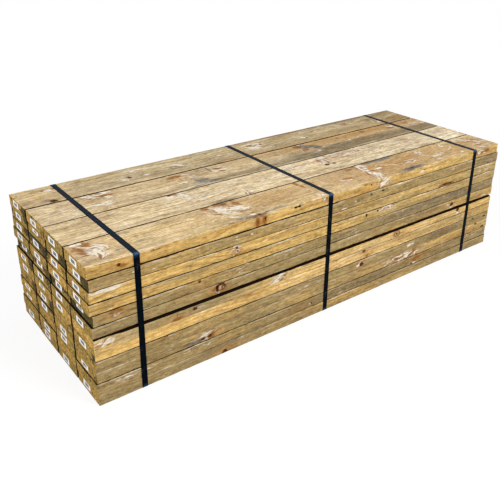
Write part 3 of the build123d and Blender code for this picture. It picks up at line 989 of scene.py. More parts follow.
class Sleeper:
    """One sleeper: its box, which of its sides show, the points of its surface, and the
    marks, knots and torn fibres on them."""

    def __init__(self, course, letter, look):
        self.course = course
        self.letter = letter
        self.look = look
        self.code = f"{course:02d}{letter}"
        self.name = "sleeper_" + self.code
        self.waney = self.code == WANEY
        self.low, self.high = (np.array(corner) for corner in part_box(self.name))
        self.span = self.high - self.low
        self.middle = (self.low + self.high) / 2
        self.widths = (self.span[1], self.span[2], self.span[1], self.span[2])
        self.seed = course * 16 + COLUMNS.index(letter)
        self.rng = np.random.default_rng(900 + self.seed)
        self.shows = (
            course == COURSES[0], letter == COLUMNS[-1], course == COURSES[-1], letter == COLUMNS[0],
        )
        self.shape()

    def wear(self, x):
        """Returns how far each arris is worn into the side before it and the side after it
        at every station, and how full its round is: the usual roundness times one slow and
        one short ripple, and nicks, or the wane where that is larger. Keeps the mean
        roundness of the upper front arris."""
        usual = np.full((len(x), 4), self.look.arris)
        if self.shows[FRONT]:
            for arris, joint in ((UPPER_FRONT, self.course), (LOWER_FRONT, self.course - 1)):
                if joint > 0:
                    ends = self.low[0], self.high[0]
                    usual[:, arris] = np.interp(x, ends, JOINT_ARRIS[joint - 1]) * MM
        self.upper_wear = usual[:, UPPER_FRONT].mean()
        worn_in = np.empty_like(usual)
        worn_out = np.empty_like(usual)
        for arris in range(4):
            slow = SLOW_WEAR * ripple(x, self.seed * 7 + arris, SLOW_WAVE)
            short = SHORT_WEAR * ripple(x, self.seed * 7 + arris + 99, SHORT_WAVE)
            wobble = 1 + slow + short
            extra = nicks(x, self.seed * 11 + arris)
            worn_in[:, arris] = usual[:, arris] * wobble + extra
            worn_out[:, arris] = usual[:, arris] * (2 - wobble) + 0.7 * extra
        worn_in = np.maximum(worn_in, LEAST_WEAR)
        worn_out = np.maximum(worn_out, LEAST_WEAR)
        fullness = np.full(usual.shape, ARRIS_FULLNESS)
        if self.waney:
            opened = np.clip((x - self.low[0] - WANE_START) / WANE_TAPER, 0, 1)
            opened = opened * (1 + 0.05 * ripple(x, self.seed, 700 * MM))
            for worn, depth in ((worn_in, WANE_ACROSS), (worn_out, WANE_DOWN)):
                worn[:, UPPER_FRONT] = np.maximum(worn[:, UPPER_FRONT], depth * opened)
            fullness[opened > 0.05, UPPER_FRONT] = WANE_FULLNESS
        return worn_in, worn_out, fullness

    def shape(self):
        """Sets the points: the section carried from the near to the far end, and both ends
        closed by rings of the section that shrink to a pole in their middle. Sets for each
        point whether it is on an end, its side, its outward direction, its corner, how far
        round the corner it lies, and how far along and across its side."""
        look, low, high, shows = self.look, self.low, self.high, self.shows
        outer = any(shows)
        drawn = shows[FRONT] or shows[TOP]
        step = look.station_step * (1 if drawn else UNDRAWN_COARSE)
        stations = int(self.span[0] / step) if outer else INNER_STATIONS
        counts = list(HIDDEN_POINTS if outer else INNER_POINTS)
        bends = [INNER_ARRIS_POINTS] * 4
        for side in range(4):
            if shows[side]:
                counts[side] = int(self.widths[side] / (look.across_step * SIDE_COARSE[side]))
            if shows[side] or shows[side - 1]:
                bends[side] = ARRIS_POINTS
        if self.waney:
            bends[UPPER_FRONT] = WANE_POINTS
        x = np.linspace(low[0] + look.end_arris, high[0] - look.end_arris, stations)
        body, side, outward, corner, turn = section_points(low, high, x, counts, bends, *self.wear(x))

        middle = self.middle[1:]
        trim = 1 - look.end_arris / (self.span[1:] / 2)
        caps = []
        for section, end_x in ((body[0], low[0]), (body[-1], high[0])):
            rings = middle + (section[:, 1:] - middle) * trim * END_RINGS[:, None, None]
            caps.append(np.concatenate([np.full(rings.shape[:2] + (1,), end_x), rings], -1))
        grid = np.concatenate([caps[0], body, caps[1][::-1]], 0)
        poles = np.array([[low[0], *middle], [high[0], *middle]])
        self.points = np.concatenate([grid.reshape(-1, 3), poles])
        self.rows, self.columns = grid.shape[:2]
        is_end = np.repeat([True, False, True], [len(END_RINGS), stations, len(END_RINGS)])
        self.end = np.append(np.repeat(is_end, self.columns), [True, True])
        self.sides = np.append(np.tile(side, self.rows), [TOP, TOP])
        self.outward = np.concatenate([np.tile(outward, (self.rows, 1)), np.zeros((2, 2))])
        self.corners = np.append(np.tile(corner, self.rows), [-1, -1])
        self.turns = np.append(np.tile(turn, self.rows), [0, 0])

        self.along = self.points[:, 0] - low[0]
        self.share_along = self.along / self.span[0]
        self.from_back = high[1] - self.points[:, 1]
        self.rise = self.points[:, 2] - low[2]
        self.across = (self.from_back, self.rise, self.from_back, self.rise)
        count = len(self.points)
        self.masks = np.zeros((count, TAN + 1))
        self.fibres = np.zeros((count, 3))
        self.grain_shift = np.zeros(count)

        # A point without a knot near it stores one that is far away
        self.knots = np.tile([1.0, 1.0, 0.01], (count, 1))

    def cover(self, where, channel, values):
        """Raises a channel of the masks to the values on the points that are chosen."""
        self.masks[where, channel] = np.maximum(self.masks[where, channel], values[where])

    def mark_sides(self):
        """Draws the marks of the sides that show, and paints shade on the hidden sides."""
        for side in range(4):
            on_side = (self.sides == side) & ~self.end
            if not self.shows[side]:
                # Hidden sides between the sleepers get painted shade
                self.masks[on_side, DARK] = JOINT_SHADE_AND_DIRT
            elif side == FRONT:
                self.mark_side(side, on_side, FRONT_MARKS[self.course])
            elif side == TOP:
                self.mark_side(side, on_side, TOP_MARKS[self.letter])
                self.masks[on_side, :DARK] *= TOP_GAIN
            else:
                self.mark_side(side, on_side, chance_marks(self.rng, self.span[0] / MM))

    def mark_side(self, side, on_side, marks):
        """Draws a side's marks: each is a bell over an ellipse. A knot stores the offset
        from its heart and draws the grain round it, and a scar stores how far a point lies
        along and across its slanted fibres."""
        x, t, width = self.along, self.across[side], self.widths[side]
        self.fibres[on_side, 0] = x[on_side]
        self.fibres[on_side, 1] = t[on_side]
        spots = [(kind, mark) for kind in CHANNELS for mark in marks.get(kind, ())]
        for scar in marks.get("scar", ()):
            place, rise, half_length, half_height, strength, slant = scar
            dx, dt = x - place * MM, t - rise * width
            apart = np.hypot(dx / (half_length * MM), dt / (half_height * MM))
            near = on_side & (apart < SCAR_REACH)
            self.fibres[near, :2] = np.stack(turned(dx, dt, slant), -1)[near]
            self.fibres[near, 2] = place * SCAR_STEP
            spots.extend(scar_streaks(scar, width))
        for place, rise, radius in marks.get("knot", ()):
            dx, dt = x - place * MM, t - rise * width
            away = np.hypot(KNOT_OVAL * dx, dt) / abs(radius * MM)
            near = on_side & (away < KNOT_REACH)
            self.knots[near] = np.stack([dx, dt, np.full(len(x), radius * MM)], -1)[near]
            bent = GRAIN_BEND * dt * np.exp(-(away / BEND_REACH) ** 2)
            self.grain_shift[on_side] -= bent[on_side]
        for kind, (place, rise, half_length, half_height, strength, *slants) in spots:
            slant = slants[0] if slants else 0
            run, lift = turned(x - place * MM, t - rise * width, slant)
            spot = strength * bell(run / (half_length * MM), lift / (half_height * MM))
            if kind == "olive":
                self.masks[on_side, OLIVE] += spot[on_side]
            elif kind == "gold":
                self.masks[on_side, OLIVE] -= spot[on_side]
            else:
                self.cover(on_side, CHANNELS[kind], spot)

    def mark_joints(self):
        """Puts painted shade and dirt round the arrises towards the hidden sides, painted shade and
        brown bark on the wane, and a pale painted highlight along the top of a front face."""
        reach = np.full(len(self.points), SHADE_AND_DIRT_REACH)
        if self.code == LEDGE:
            reach[self.along > LEDGE_START] = LEDGE_REACH
        # Painted shade and dirt round each arris that meets a hidden side
        for arris in range(4):
            before, after = self.shows[arris - 1], self.shows[arris]
            if before and after:
                dirt = np.zeros(len(self.points))
            elif after:
                dirt = np.clip((reach - self.turns) / SHADE_AND_DIRT_FADE, 0, 1)
            elif before:
                dirt = np.clip((self.turns - 1 + SHADE_AND_DIRT_REACH) / SHADE_AND_DIRT_FADE, 0, 1)
            else:
                dirt = np.ones(len(self.points))
            if self.shows[FRONT] and arris in (LOWER_FRONT, UPPER_FRONT):
                joint = self.course if arris == UPPER_FRONT else self.course - 1
                dirt = dirt * np.interp(self.share_along, (0, 1), TIGHT_JOINTS.get(joint, (1.0, 1.0)))
            on_corner = (self.corners == arris) & ~self.end
            self.masks[on_corner, DARK] = JOINT_SHADE_AND_DIRT * dirt[on_corner]
        if self.waney:
            # Painted shade from the course above covers the wane, over its brown bark
            bark = (self.corners == UPPER_FRONT) & ~self.end
            self.cover(bark, DARK, WANE_SHADE * np.clip((1 - self.turns) / WANE_SHADE_FADE, 0, 1))
            self.cover(bark, BROWN, np.clip((1 - self.turns) / BARK_BROWN_FADE, 0, 1))
        if self.shows[FRONT]:
            # A pale painted highlight along the top edge of the front face, where the arris catches the
            # light
            worn = np.clip(0.25 + 0.6 * ripple(self.along, self.seed + 17, 400 * MM), 0, 0.8)
            below = self.high[2] - self.upper_wear - self.points[:, 2]
            on_front = (self.sides == FRONT) & ~self.end
            self.cover(on_front, CREAM, worn * np.exp(-(below / EDGE_HIGHLIGHT) ** 2))

    def mark_ends(self):
        """Draws the damp stains of the near end, seeded ones on the far end, painted shade on the
        edges beside the gaps, and painted shade and grime beside the joints."""
        near_end = self.end & (self.share_along < 0.5)
        for place, half_width, rise, half_height, strength in END_STAINS.get(self.code, ()):
            dy = self.from_back - place * self.span[1]
            dz = self.rise - rise * self.span[2]
            spot = bell(dy / (half_width * MM), dz / (half_height * MM))
            self.cover(near_end, BLUE, END_STAIN_GAIN * strength * spot)
        # Painted shade on the ends beside the gaps between the columns
        to_gap = np.full(len(self.points), 1.0)
        if self.letter != COLUMNS[0]:
            to_gap = np.minimum(to_gap, self.points[:, 1] - self.low[1])
        if self.letter != COLUMNS[-1]:
            to_gap = np.minimum(to_gap, self.from_back)
        stain_width = self.look.gap_shade * np.where(near_end, 1, FAR_GAP_SHARE)
        self.cover(self.end, DARK, GAP_SHADE * np.exp(-(to_gap / stain_width) ** 2))
        # Painted shade and grime along the seams between the courses
        for to_seam in (self.rise, self.high[2] - self.points[:, 2]):
            grime = self.rng.choice([0.2, 0.6, 1.0])
            grime = grime * (0.8 + 0.4 * ripple(self.points[:, 1], self.seed + 31, 120 * MM))
            self.cover(self.end, DARK, grime * np.exp(-(to_seam / self.look.seam_shade_and_grime) ** 2))
        for place in self.rng.uniform(0, 1, 2):
            dy = self.points[:, 1] - self.low[1] - place * self.span[1]
            spot = self.rng.uniform(0, 1) * np.exp(-(dy / FAR_STAIN) ** 2)
            self.cover(self.end & ~near_end, BLUE, spot)

    def tone(self):
        """Returns for each point how weathered it is, how light its wood is, whether it is on an end, and
        how bleached it is, with painted sky sheen on the tops and the painted highlight along a front's
        top."""
        rng = self.rng
        tone = np.zeros((len(self.points), 4))
        tone[:, 0] = rng.uniform(0.1, 0.8) + rng.uniform(-0.2, 0.2) * self.share_along
        tone[:, 1] = rng.uniform(0.42, 0.58)
        if self.shows[FRONT]:
            tone[:, 0] = fade(FRONT_TONES[self.course - 1], self.share_along)
            tone[:, 1] = FRONT_LIGHT.get(self.course, 0.5)
        if self.shows[TOP]:
            on_top = self.sides == TOP
            weathered, bleached = TOP_TONES[self.letter]
            tone[on_top, 0] = fade(weathered, self.share_along[on_top])
            tone[on_top, 3] = fade(bleached, self.share_along[on_top])
        tone[self.end, 0] = rng.uniform(0.0, 0.55)
        # Cream marks add to the bleaching: scar washes, paler wood and the painted highlight along a
        # front's top
        tone[:, 3] += 0.8 * self.masks[:, CREAM]
        tone[self.end, 3] = 0
        tone[:, 0] += self.masks[:, OLIVE] + 0.9 * self.masks[:, GREY]
        tone[:, 2] = self.end
        return tone

    def grain(self):
        """Returns each point's place in its log: how far along it lies, and across and up
        from the heart, which is off the section, a little out of line and wavy. The grain is
        drawn round the knots."""
        rng, along = self.rng, self.along
        heart_y = rng.uniform(-HEART_ASIDE, HEART_ASIDE)
        heart_z = rng.choice([-1, 1]) * rng.uniform(HEART_LEAST, HEART_MOST)
        lean_y, lean_z = rng.uniform(-HEART_LEAN, HEART_LEAN, 2)
        y, z = (self.points[:, 1:] - self.middle[1:]).T
        wave_y = 8 * MM * ripple(along, self.seed + 5, 900 * MM)
        wave_z = 5 * MM * ripple(along, self.seed + 6, 1100 * MM)
        level = (self.sides == TOP) | (self.sides == UNDER)
        return np.stack([
            along + COURSE_STEP * self.course + COLUMN_STEP * COLUMNS.index(self.letter),
            y - heart_y - lean_y * along + wave_y - np.where(level, self.grain_shift, 0),
            z - heart_z - lean_z * along + wave_z + np.where(level, 0, self.grain_shift),
        ], -1)

    def press(self):
        """Presses in the torn patches and the knots, and leaves the sawn sides a little
        uneven: each point moves inwards by the depth of its torn patch times a roughness, by
        a slow unevenness and by a bell over its knot."""
        t = np.choose(self.sides, self.across)
        torn = self.look.torn_depth * np.clip(self.masks[:, PALE], 0, 1)
        depth = torn * (0.6 + 0.4 * rough(self.along, t, self.seed + 1, 50 * MM, 12 * MM))
        depth += UNEVEN_DEPTH * (1 + rough(self.along, t, self.seed + 2, 350 * MM, 80 * MM))
        apart = np.hypot(KNOT_OVAL * self.knots[:, 0], self.knots[:, 1]) / np.abs(self.knots[:, 2])
        depth += KNOT_DEPTH * np.exp(-apart ** 2)
        depth = np.clip(depth, 0, None)
        depth[self.end] = 0
        self.points[:, 1:] -= self.outward * depth[:, None]

    def mesh(self):
        """Makes the sleeper's mesh, with what the material reads stored on its points."""
        self.mark_sides()
        self.mark_joints()
        self.mark_ends()
        tone = self.tone()
        grain = self.grain()
        self.press()
        here = np.arange(self.columns)
        following = (here + 1) % self.columns
        last = (self.rows - 1) * self.columns
        pole = len(self.points) - 2
        near_fan = np.stack([following, here, np.full(self.columns, pole)], -1)
        far_fan = np.stack([last + here, last + following, np.full(self.columns, pole + 1)], -1)
        quads = tube_quads(self.rows, self.columns)
        mesh = fill_mesh(self.name + "_pine", self.points, quads, np.concatenate([near_fan, far_fan]))
        store(mesh, "grain", "FLOAT_VECTOR", "vector", grain)
        store(mesh, "knot", "FLOAT_VECTOR", "vector", self.knots)
        store(mesh, "fibres", "FLOAT_VECTOR", "vector", self.fibres)
        store(mesh, "tone", "FLOAT_COLOR", "color", tone)
        store(mesh, "marks", "FLOAT_COLOR", "color", np.clip(self.masks[:, :DARK + 1], 0, 2))
        store(mesh, "wash", "FLOAT", "value", self.masks[:, TAN])
        return mesh


def pine_patterns(tree, look):
    """Returns what is stored on the sleepers, the noises that follow the grain, and the rings."""
    pine = SimpleNamespace()
    pine.grain, pine.knot, pine.fibres = (
        node(tree, "Attribute", attribute_name=title).node.outputs["Vector"]
        for title in ("grain", "knot", "fibres")
    )
    pine.wash = node(tree, "Attribute", attribute_name="wash").node.outputs["Fac"]
    tone = node(tree, "Attribute", attribute_name="tone")
    marks = node(tree, "Attribute", attribute_name="marks")
    pine.weathered, pine.lightness, pine.end = node(tree, "SeparateColor", tone).node.outputs
    pine.torn, pine.resin, pine.stain = node(tree, "SeparateColor", marks).node.outputs
    pine.bleach, pine.streak = tone.node.outputs["Alpha"], marks.node.outputs["Alpha"]

    # Noises: their place, the sizes of their patches in mm, detail and roughness. Saw marks
    # run across the ends and scratches slant across the tops.
    place = node(tree, "TexCoord").node.outputs["Object"]
    slanted = node(tree, "VectorRotate Z_AXIS", inputs={"Vector": pine.grain, "Angle": 1.0})
    fibre_length, fibre_width = look.fibre_length / MM, look.fibre_width / MM
    noises = {
        "fibre": (pine.grain, (fibre_length, fibre_width, fibre_width), 3, 0.6),
        "checks": (pine.grain, (70, 4.2, 4.2), 2, 0.6),
        "blotch": (pine.grain, (85, 20, 20), 4, 0.65),
        "patchy": (pine.grain, (340, 45, 45), 3, 0.55),
        "broad": (pine.grain, (900, 120, 120), 2, 0.5),
        "ragged": (pine.grain, (36, 10, 10), 4, 0.7),
        "fine": (pine.grain, (18, 5.5, 5.5), 2, 0.6),
        "sway": (pine.grain, (500, 60, 60), 2, 0.5),
        "streaky": (pine.grain, (260, 9.5, 9.5), 3, 0.6),
        "mottle": (pine.grain, (24, 12, 12), 3, 0.7),
        "sawing": (pine.grain, (7.5, 50, 50), 2, 0.6),
        "swirl": (pine.grain, (50, 14, 14), 1, 0.5),
        "lifted": (pine.grain, (120, 45, 45), 2, 0.55),
        "glint": (pine.grain, (70, 5, 5), 2, 0.6),
        "scratch": (slanted, (62, 4.8, 11), 2, 0.6),
        "kerf": (place, (math.inf, 110, 2.6), 2, 0.6),
    }

    # Torn fibres lie in curved lines, drawn about 5 mm wide because real ones are too fine.
    # The third axis only keeps the scars apart.
    curl = speckle(tree, pine.fibres, (60, 40, 1000), 1, 0.5)
    curl = node(tree, "Math MULTIPLY", curl, 6.0)
    curl = node(tree, "CombineXYZ", 0.0, curl, 0.0)
    noises["lines"] = (pine.fibres, (70, 9, 1000), 2, 0.55, curl)

    # A noise keeps near one half, so it is spread over about -1 to 1
    for title, sizes in noises.items():
        noise = speckle(tree, *sizes)
        setattr(pine, title, node(tree, "Math MULTIPLY_ADD", noise, 5.0, -2.5))
    pine.tear = node(tree, "Math MULTIPLY_ADD", pine.fine, 0.6, pine.ragged)
    pine.lines = node(tree, "Math MULTIPLY_ADD", pine.tear, 0.35, pine.lines)
    pine.sawn = node(tree, "Math MULTIPLY", pine.kerf, pine.end)

    # Growth rings, darker towards the outside of each year
    flat = node(tree, "VectorMath MULTIPLY", pine.grain, (0, 1, 1))
    radius = node(tree, "VectorMath LENGTH", flat)
    years = node(tree, "Math MULTIPLY", radius, 1 / look.ring_spacing)
    years = node(tree, "Math MULTIPLY_ADD", pine.sway, 0.5, years)
    phase = node(tree, "Math FRACT", years)
    pine.late = node(tree, "Math POWER", phase, 3.2)
    return pine


def pine_wood(tree, look, pine):
    """Returns the colour of the wood: gold, olive and grey by weather, tops bleached and partly
    painted with sky sheen, warm streaks, tan stretches and rings on the sides, ring arcs and damp
    stains on the ends, blue stain, and light and dark fibres over all."""
    weather = pine.weathered
    for pattern, weight in ((pine.patchy, 0.30), (pine.broad, 0.14), (pine.blotch, 0.18)):
        weather = node(tree, "Math MULTIPLY_ADD", pattern, weight, weather)
    to_olive = node(tree, "MapRange SMOOTHSTEP", weather, 0.0, 0.75)
    to_grey = node(tree, "MapRange SMOOTHSTEP", weather, 0.7, 1.4)
    # Paler tops: sun-bleaching with painted sky sheen, and the painted highlight along a front's top
    bleaching = 1.0
    for pattern, weight in ((pine.blotch, 0.30), (pine.streaky, 0.45)):
        bleaching = node(tree, "Math MULTIPLY_ADD", pattern, weight, bleaching)
    kept = node(tree, "Math MULTIPLY_ADD", to_grey, -0.8, 1.0)
    bleaching = node(tree, "Math MULTIPLY", bleaching, kept)
    bleaching = node(tree, "Math MULTIPLY", bleaching, pine.bleach, use_clamp=True)
    warm = node(tree, "Math MULTIPLY_ADD", pine.streaky, 0.5, pine.patchy)
    warm = node(tree, "MapRange", warm, 0.1, 1.6)
    warm_share = node(tree, "Math MULTIPLY_ADD", pine.bleach, 0.3, 0.42)
    warm = node(tree, "Math MULTIPLY", warm, warm_share)
    washed = 1.0
    for pattern in (pine.blotch, pine.streaky):
        washed = node(tree, "Math MULTIPLY_ADD", pattern, 0.5, washed)
    washed = node(tree, "Math MULTIPLY", washed, pine.wash, use_clamp=True)
    rings = node(tree, "Math MULTIPLY", pine.late, 0.6)
    wood = opaque(look.gold)
    for cover, paint in (
        (to_olive, look.olive), (to_grey, look.grey), (bleaching, look.bleached),
        (warm, look.latewood), (washed, look.tan), (rings, look.latewood),
    ):
        wood = node(tree, "Mix RGBA", cover, wood, opaque(paint))

    # Sawn ends
    arcs = node(tree, "Math MULTIPLY", pine.late, 0.62)
    end_weather = node(tree, "Math MULTIPLY_ADD", pine.ragged, 0.32, weather, use_clamp=True)
    end_wood = opaque(look.end_gold)
    for cover, paint in ((arcs, look.latewood), (end_weather, look.end_olive)):
        end_wood = node(tree, "Mix RGBA", cover, end_wood, opaque(paint))
    wood = node(tree, "Mix RGBA", pine.end, wood, end_wood)

    # Stains, blue on the sides and damp on the ends
    stain = edged(tree, pine.stain, pine.tear, 0.7, 0.2, 0.75)
    stain_share = node(tree, "Math MULTIPLY_ADD", pine.end, 0.10, 0.76)
    stain_share = node(tree, "Math MULTIPLY", stain_share, stain)
    stain_colour = node(tree, "Mix RGBA", pine.end, opaque(look.blue_stain), opaque(look.damp))
    wood = node(tree, "Mix RGBA", stain_share, wood, stain_colour)

    # Light and dark fibres
    uneven = node(tree, "Math MULTIPLY_ADD", pine.patchy, 0.8, pine.mottle)
    uneven = node(tree, "Math MULTIPLY", uneven, pine.end)
    value = 0.78
    for pattern, weight in (
        (pine.fibre, 0.28), (pine.mottle, 0.24), (pine.sawing, 0.06), (pine.blotch, 0.25),
        (pine.broad, 0.11), (pine.streaky, 0.10), (pine.fine, 0.2), (pine.sawn, 0.2), (uneven, 0.45),
        (pine.lightness, 0.5),
    ):
        value = node(tree, "Math MULTIPLY_ADD", pattern, weight, value)
    return node(tree, "VectorMath SCALE", wood, inputs={"Scale": value})


def pine_marks(tree, look, pine, wood):
    """Returns the wood with resin, torn patches with frayed brown edges, curls of lifted
    fibre with a brown shadow beside them, glints, flecks and scratches, and how torn it is."""
    resin = edged(tree, pine.resin, pine.blotch, 0.7, 0.22, 0.68)
    resin = node(tree, "Math MULTIPLY", resin, 0.85)
    fray = edged(tree, pine.torn, pine.lines, -0.8, 0.2, 0.8)
    fray = node(tree, "Math MULTIPLY", fray, 0.4)
    torn = edged(tree, pine.torn, pine.lines, 1.1, 0.36, 0.85)
    torn = node(tree, "Math MULTIPLY", torn, 0.9)

    # Curls lie along the middle line of a noise, and their shadows along a line beside it
    side = node(tree, "Math SUBTRACT", 1.0, pine.end)
    lifted = node(tree, "MapRange SMOOTHSTEP", pine.lifted, 0.5, 1.2)
    lifted = node(tree, "Math MULTIPLY", lifted, side)
    curls = []
    for aside, strength in ((0.0, 0.42), (-0.5, 0.4)):
        curl = node(tree, "Math ADD", pine.swirl, aside)
        curl = node(tree, "Math ABSOLUTE", curl)
        curl = node(tree, "MapRange SMOOTHSTEP", curl, 0.30, 0.10)
        for factor in (lifted, strength):
            curl = node(tree, "Math MULTIPLY", curl, factor)
        curls.append(curl)
    curl, shadow = curls
    glints = node(tree, "MapRange SMOOTHSTEP", pine.glint, 0.75, 1.5)
    for factor in (side, 0.5):
        glints = node(tree, "Math MULTIPLY", glints, factor)

    # Flecks of fibre all over, and scratches on the bleached tops
    scratches = node(tree, "MapRange SMOOTHSTEP", pine.scratch, 0.55, 1.3)
    scratches = node(tree, "Math MULTIPLY", scratches, pine.bleach)
    flecks = node(tree, "MapRange SMOOTHSTEP", pine.tear, 0.7, 1.7)
    flecks = node(tree, "Math MAXIMUM", flecks, scratches)
    fleck_share = node(tree, "Math MULTIPLY_ADD", pine.bleach, 0.6, 0.3)
    flecks = node(tree, "Math MULTIPLY", flecks, fleck_share)
    for also in (curl, glints, flecks):
        torn = node(tree, "Math MAXIMUM", torn, also)

    for cover in (resin, shadow, fray):
        wood = node(tree, "Mix RGBA", cover, wood, opaque(look.resin))
    torn_light = node(tree, "Math MULTIPLY_ADD", pine.fine, 0.16, 0.93)
    torn_colour = node(tree, "VectorMath SCALE", look.torn, inputs={"Scale": torn_light})
    wood = node(tree, "Mix RGBA", torn, wood, torn_colour)
    return wood, torn


def pine_knots(tree, look, pine, wood):
    """Returns the wood with its knots: a stained halo, a bark ring with gaps and a heart with
    years of its own. A live knot has a pale heart, a brown ring and a dark pith, and a large
    knot is browner and chipped."""
    radius = node(tree, "SeparateXYZ", pine.knot).node.outputs[2]
    size = node(tree, "Math ABSOLUTE", radius)
    live = node(tree, "Math LESS_THAN", radius, 0.0)
    large = node(tree, "MapRange", size, 9 * MM, 15 * MM)
    oval = node(tree, "VectorMath MULTIPLY", pine.knot, (KNOT_OVAL, 1, 0))
    apart = node(tree, "VectorMath LENGTH", oval)
    apart = node(tree, "Math DIVIDE", apart, size)
    apart = node(tree, "Math MULTIPLY_ADD", pine.tear, 0.26, apart)

    # Rings of a knot from the outside in, each from where it starts to where it is full in radii
    halo, rim, heart, pith = (
        node(tree, "MapRange SMOOTHSTEP", apart, start, full)
        for start, full in ((1.9, 0.9), (1.15, 0.95), (0.85, 0.6), (0.42, 0.2))
    )
    halo = node(tree, "Math MULTIPLY", halo, 0.5)
    gaps = node(tree, "MapRange SMOOTHSTEP", pine.blotch, -0.7, 0.1)
    rim = node(tree, "Math MULTIPLY", rim, gaps)
    pith = node(tree, "Math MULTIPLY", pith, live)
    rim_colour = node(tree, "Mix RGBA", live, opaque(look.knot_rim), opaque(look.resin))

    years = node(tree, "Math MULTIPLY", apart, 22.0)
    years = node(tree, "Math SINE", years)
    light = node(tree, "Math MULTIPLY_ADD", years, 0.16, 0.95)
    heart_colour = node(tree, "Mix RGBA", live, opaque(look.knot), opaque(look.pale_knot))
    heart_colour = node(tree, "VectorMath SCALE", heart_colour, inputs={"Scale": light})
    brown = node(tree, "Math MULTIPLY", large, 0.6)
    chips = node(tree, "MapRange SMOOTHSTEP", pine.tear, 0.1, 0.8)
    chips = node(tree, "Math MULTIPLY", chips, large)
    for cover, paint in ((brown, look.resin), (chips, look.bleached)):
        heart_colour = node(tree, "Mix RGBA", cover, heart_colour, opaque(paint))
    for cover, paint in (
        (halo, opaque(look.resin)), (rim, rim_colour), (heart, heart_colour), (pith, opaque(look.knot)),
    ):
        wood = node(tree, "Mix RGBA", cover, wood, paint)
    return wood


def pine_material(look):
    """Treated sawn pine. It gives the eye growth rings that follow the log, streaks of
    fibre, weathered and bleached stretches, torn fibres, resin, blue stain and knots,
    and on the ends the ring arcs, saw marks and damp stains."""
    material, tree = new_material("treated_pine_sawn")
    pine = pine_patterns(tree, look)
    wood = pine_wood(tree, look, pine)
    wood, torn = pine_marks(tree, look, pine, wood)
    wood = pine_knots(tree, look, pine, wood)

    # Drying checks, pitch, dirt and the painted shade of joints, gaps and wane lie over the rest
    checks = node(tree, "MapRange SMOOTHSTEP", pine.checks, 0.7, 1.5)
    checks = node(tree, "Math MULTIPLY", checks, 0.5)
    streaks = edged(tree, pine.streak, pine.ragged, 0.6, 0.32, 0.72)
    streaks = node(tree, "Math MULTIPLY", streaks, 0.985)
    streaks = node(tree, "Math MAXIMUM", streaks, checks)
    wood = node(tree, "Mix RGBA", streaks, wood, opaque(look.streak))

    # Relief of fibres, rings, saw marks and torn patches
    ragged = node(tree, "Math MULTIPLY", torn, pine.ragged)
    relief = 0.0
    for pattern, weight in (
        (pine.fibre, 0.12), (pine.late, 0.2), (pine.fine, 0.08), (pine.sawn, 0.1), (ragged, 0.4),
    ):
        relief = node(tree, "Math MULTIPLY_ADD", pattern, weight, relief)
    bump = node(tree, "Bump", inputs={"Strength": 0.6, "Distance": 1.5 * MM, "Height": relief})
    dull = node(tree, "Math MULTIPLY_ADD", pine.fibre, 0.05, 0.78)
    shader = node(tree, "BsdfPrincipled", inputs={
        "Base Color": wood, "Roughness": dull, "Normal": bump, "Specular IOR Level": 0.04,
    })
    node(tree, "OutputMaterial", shader)
    return material


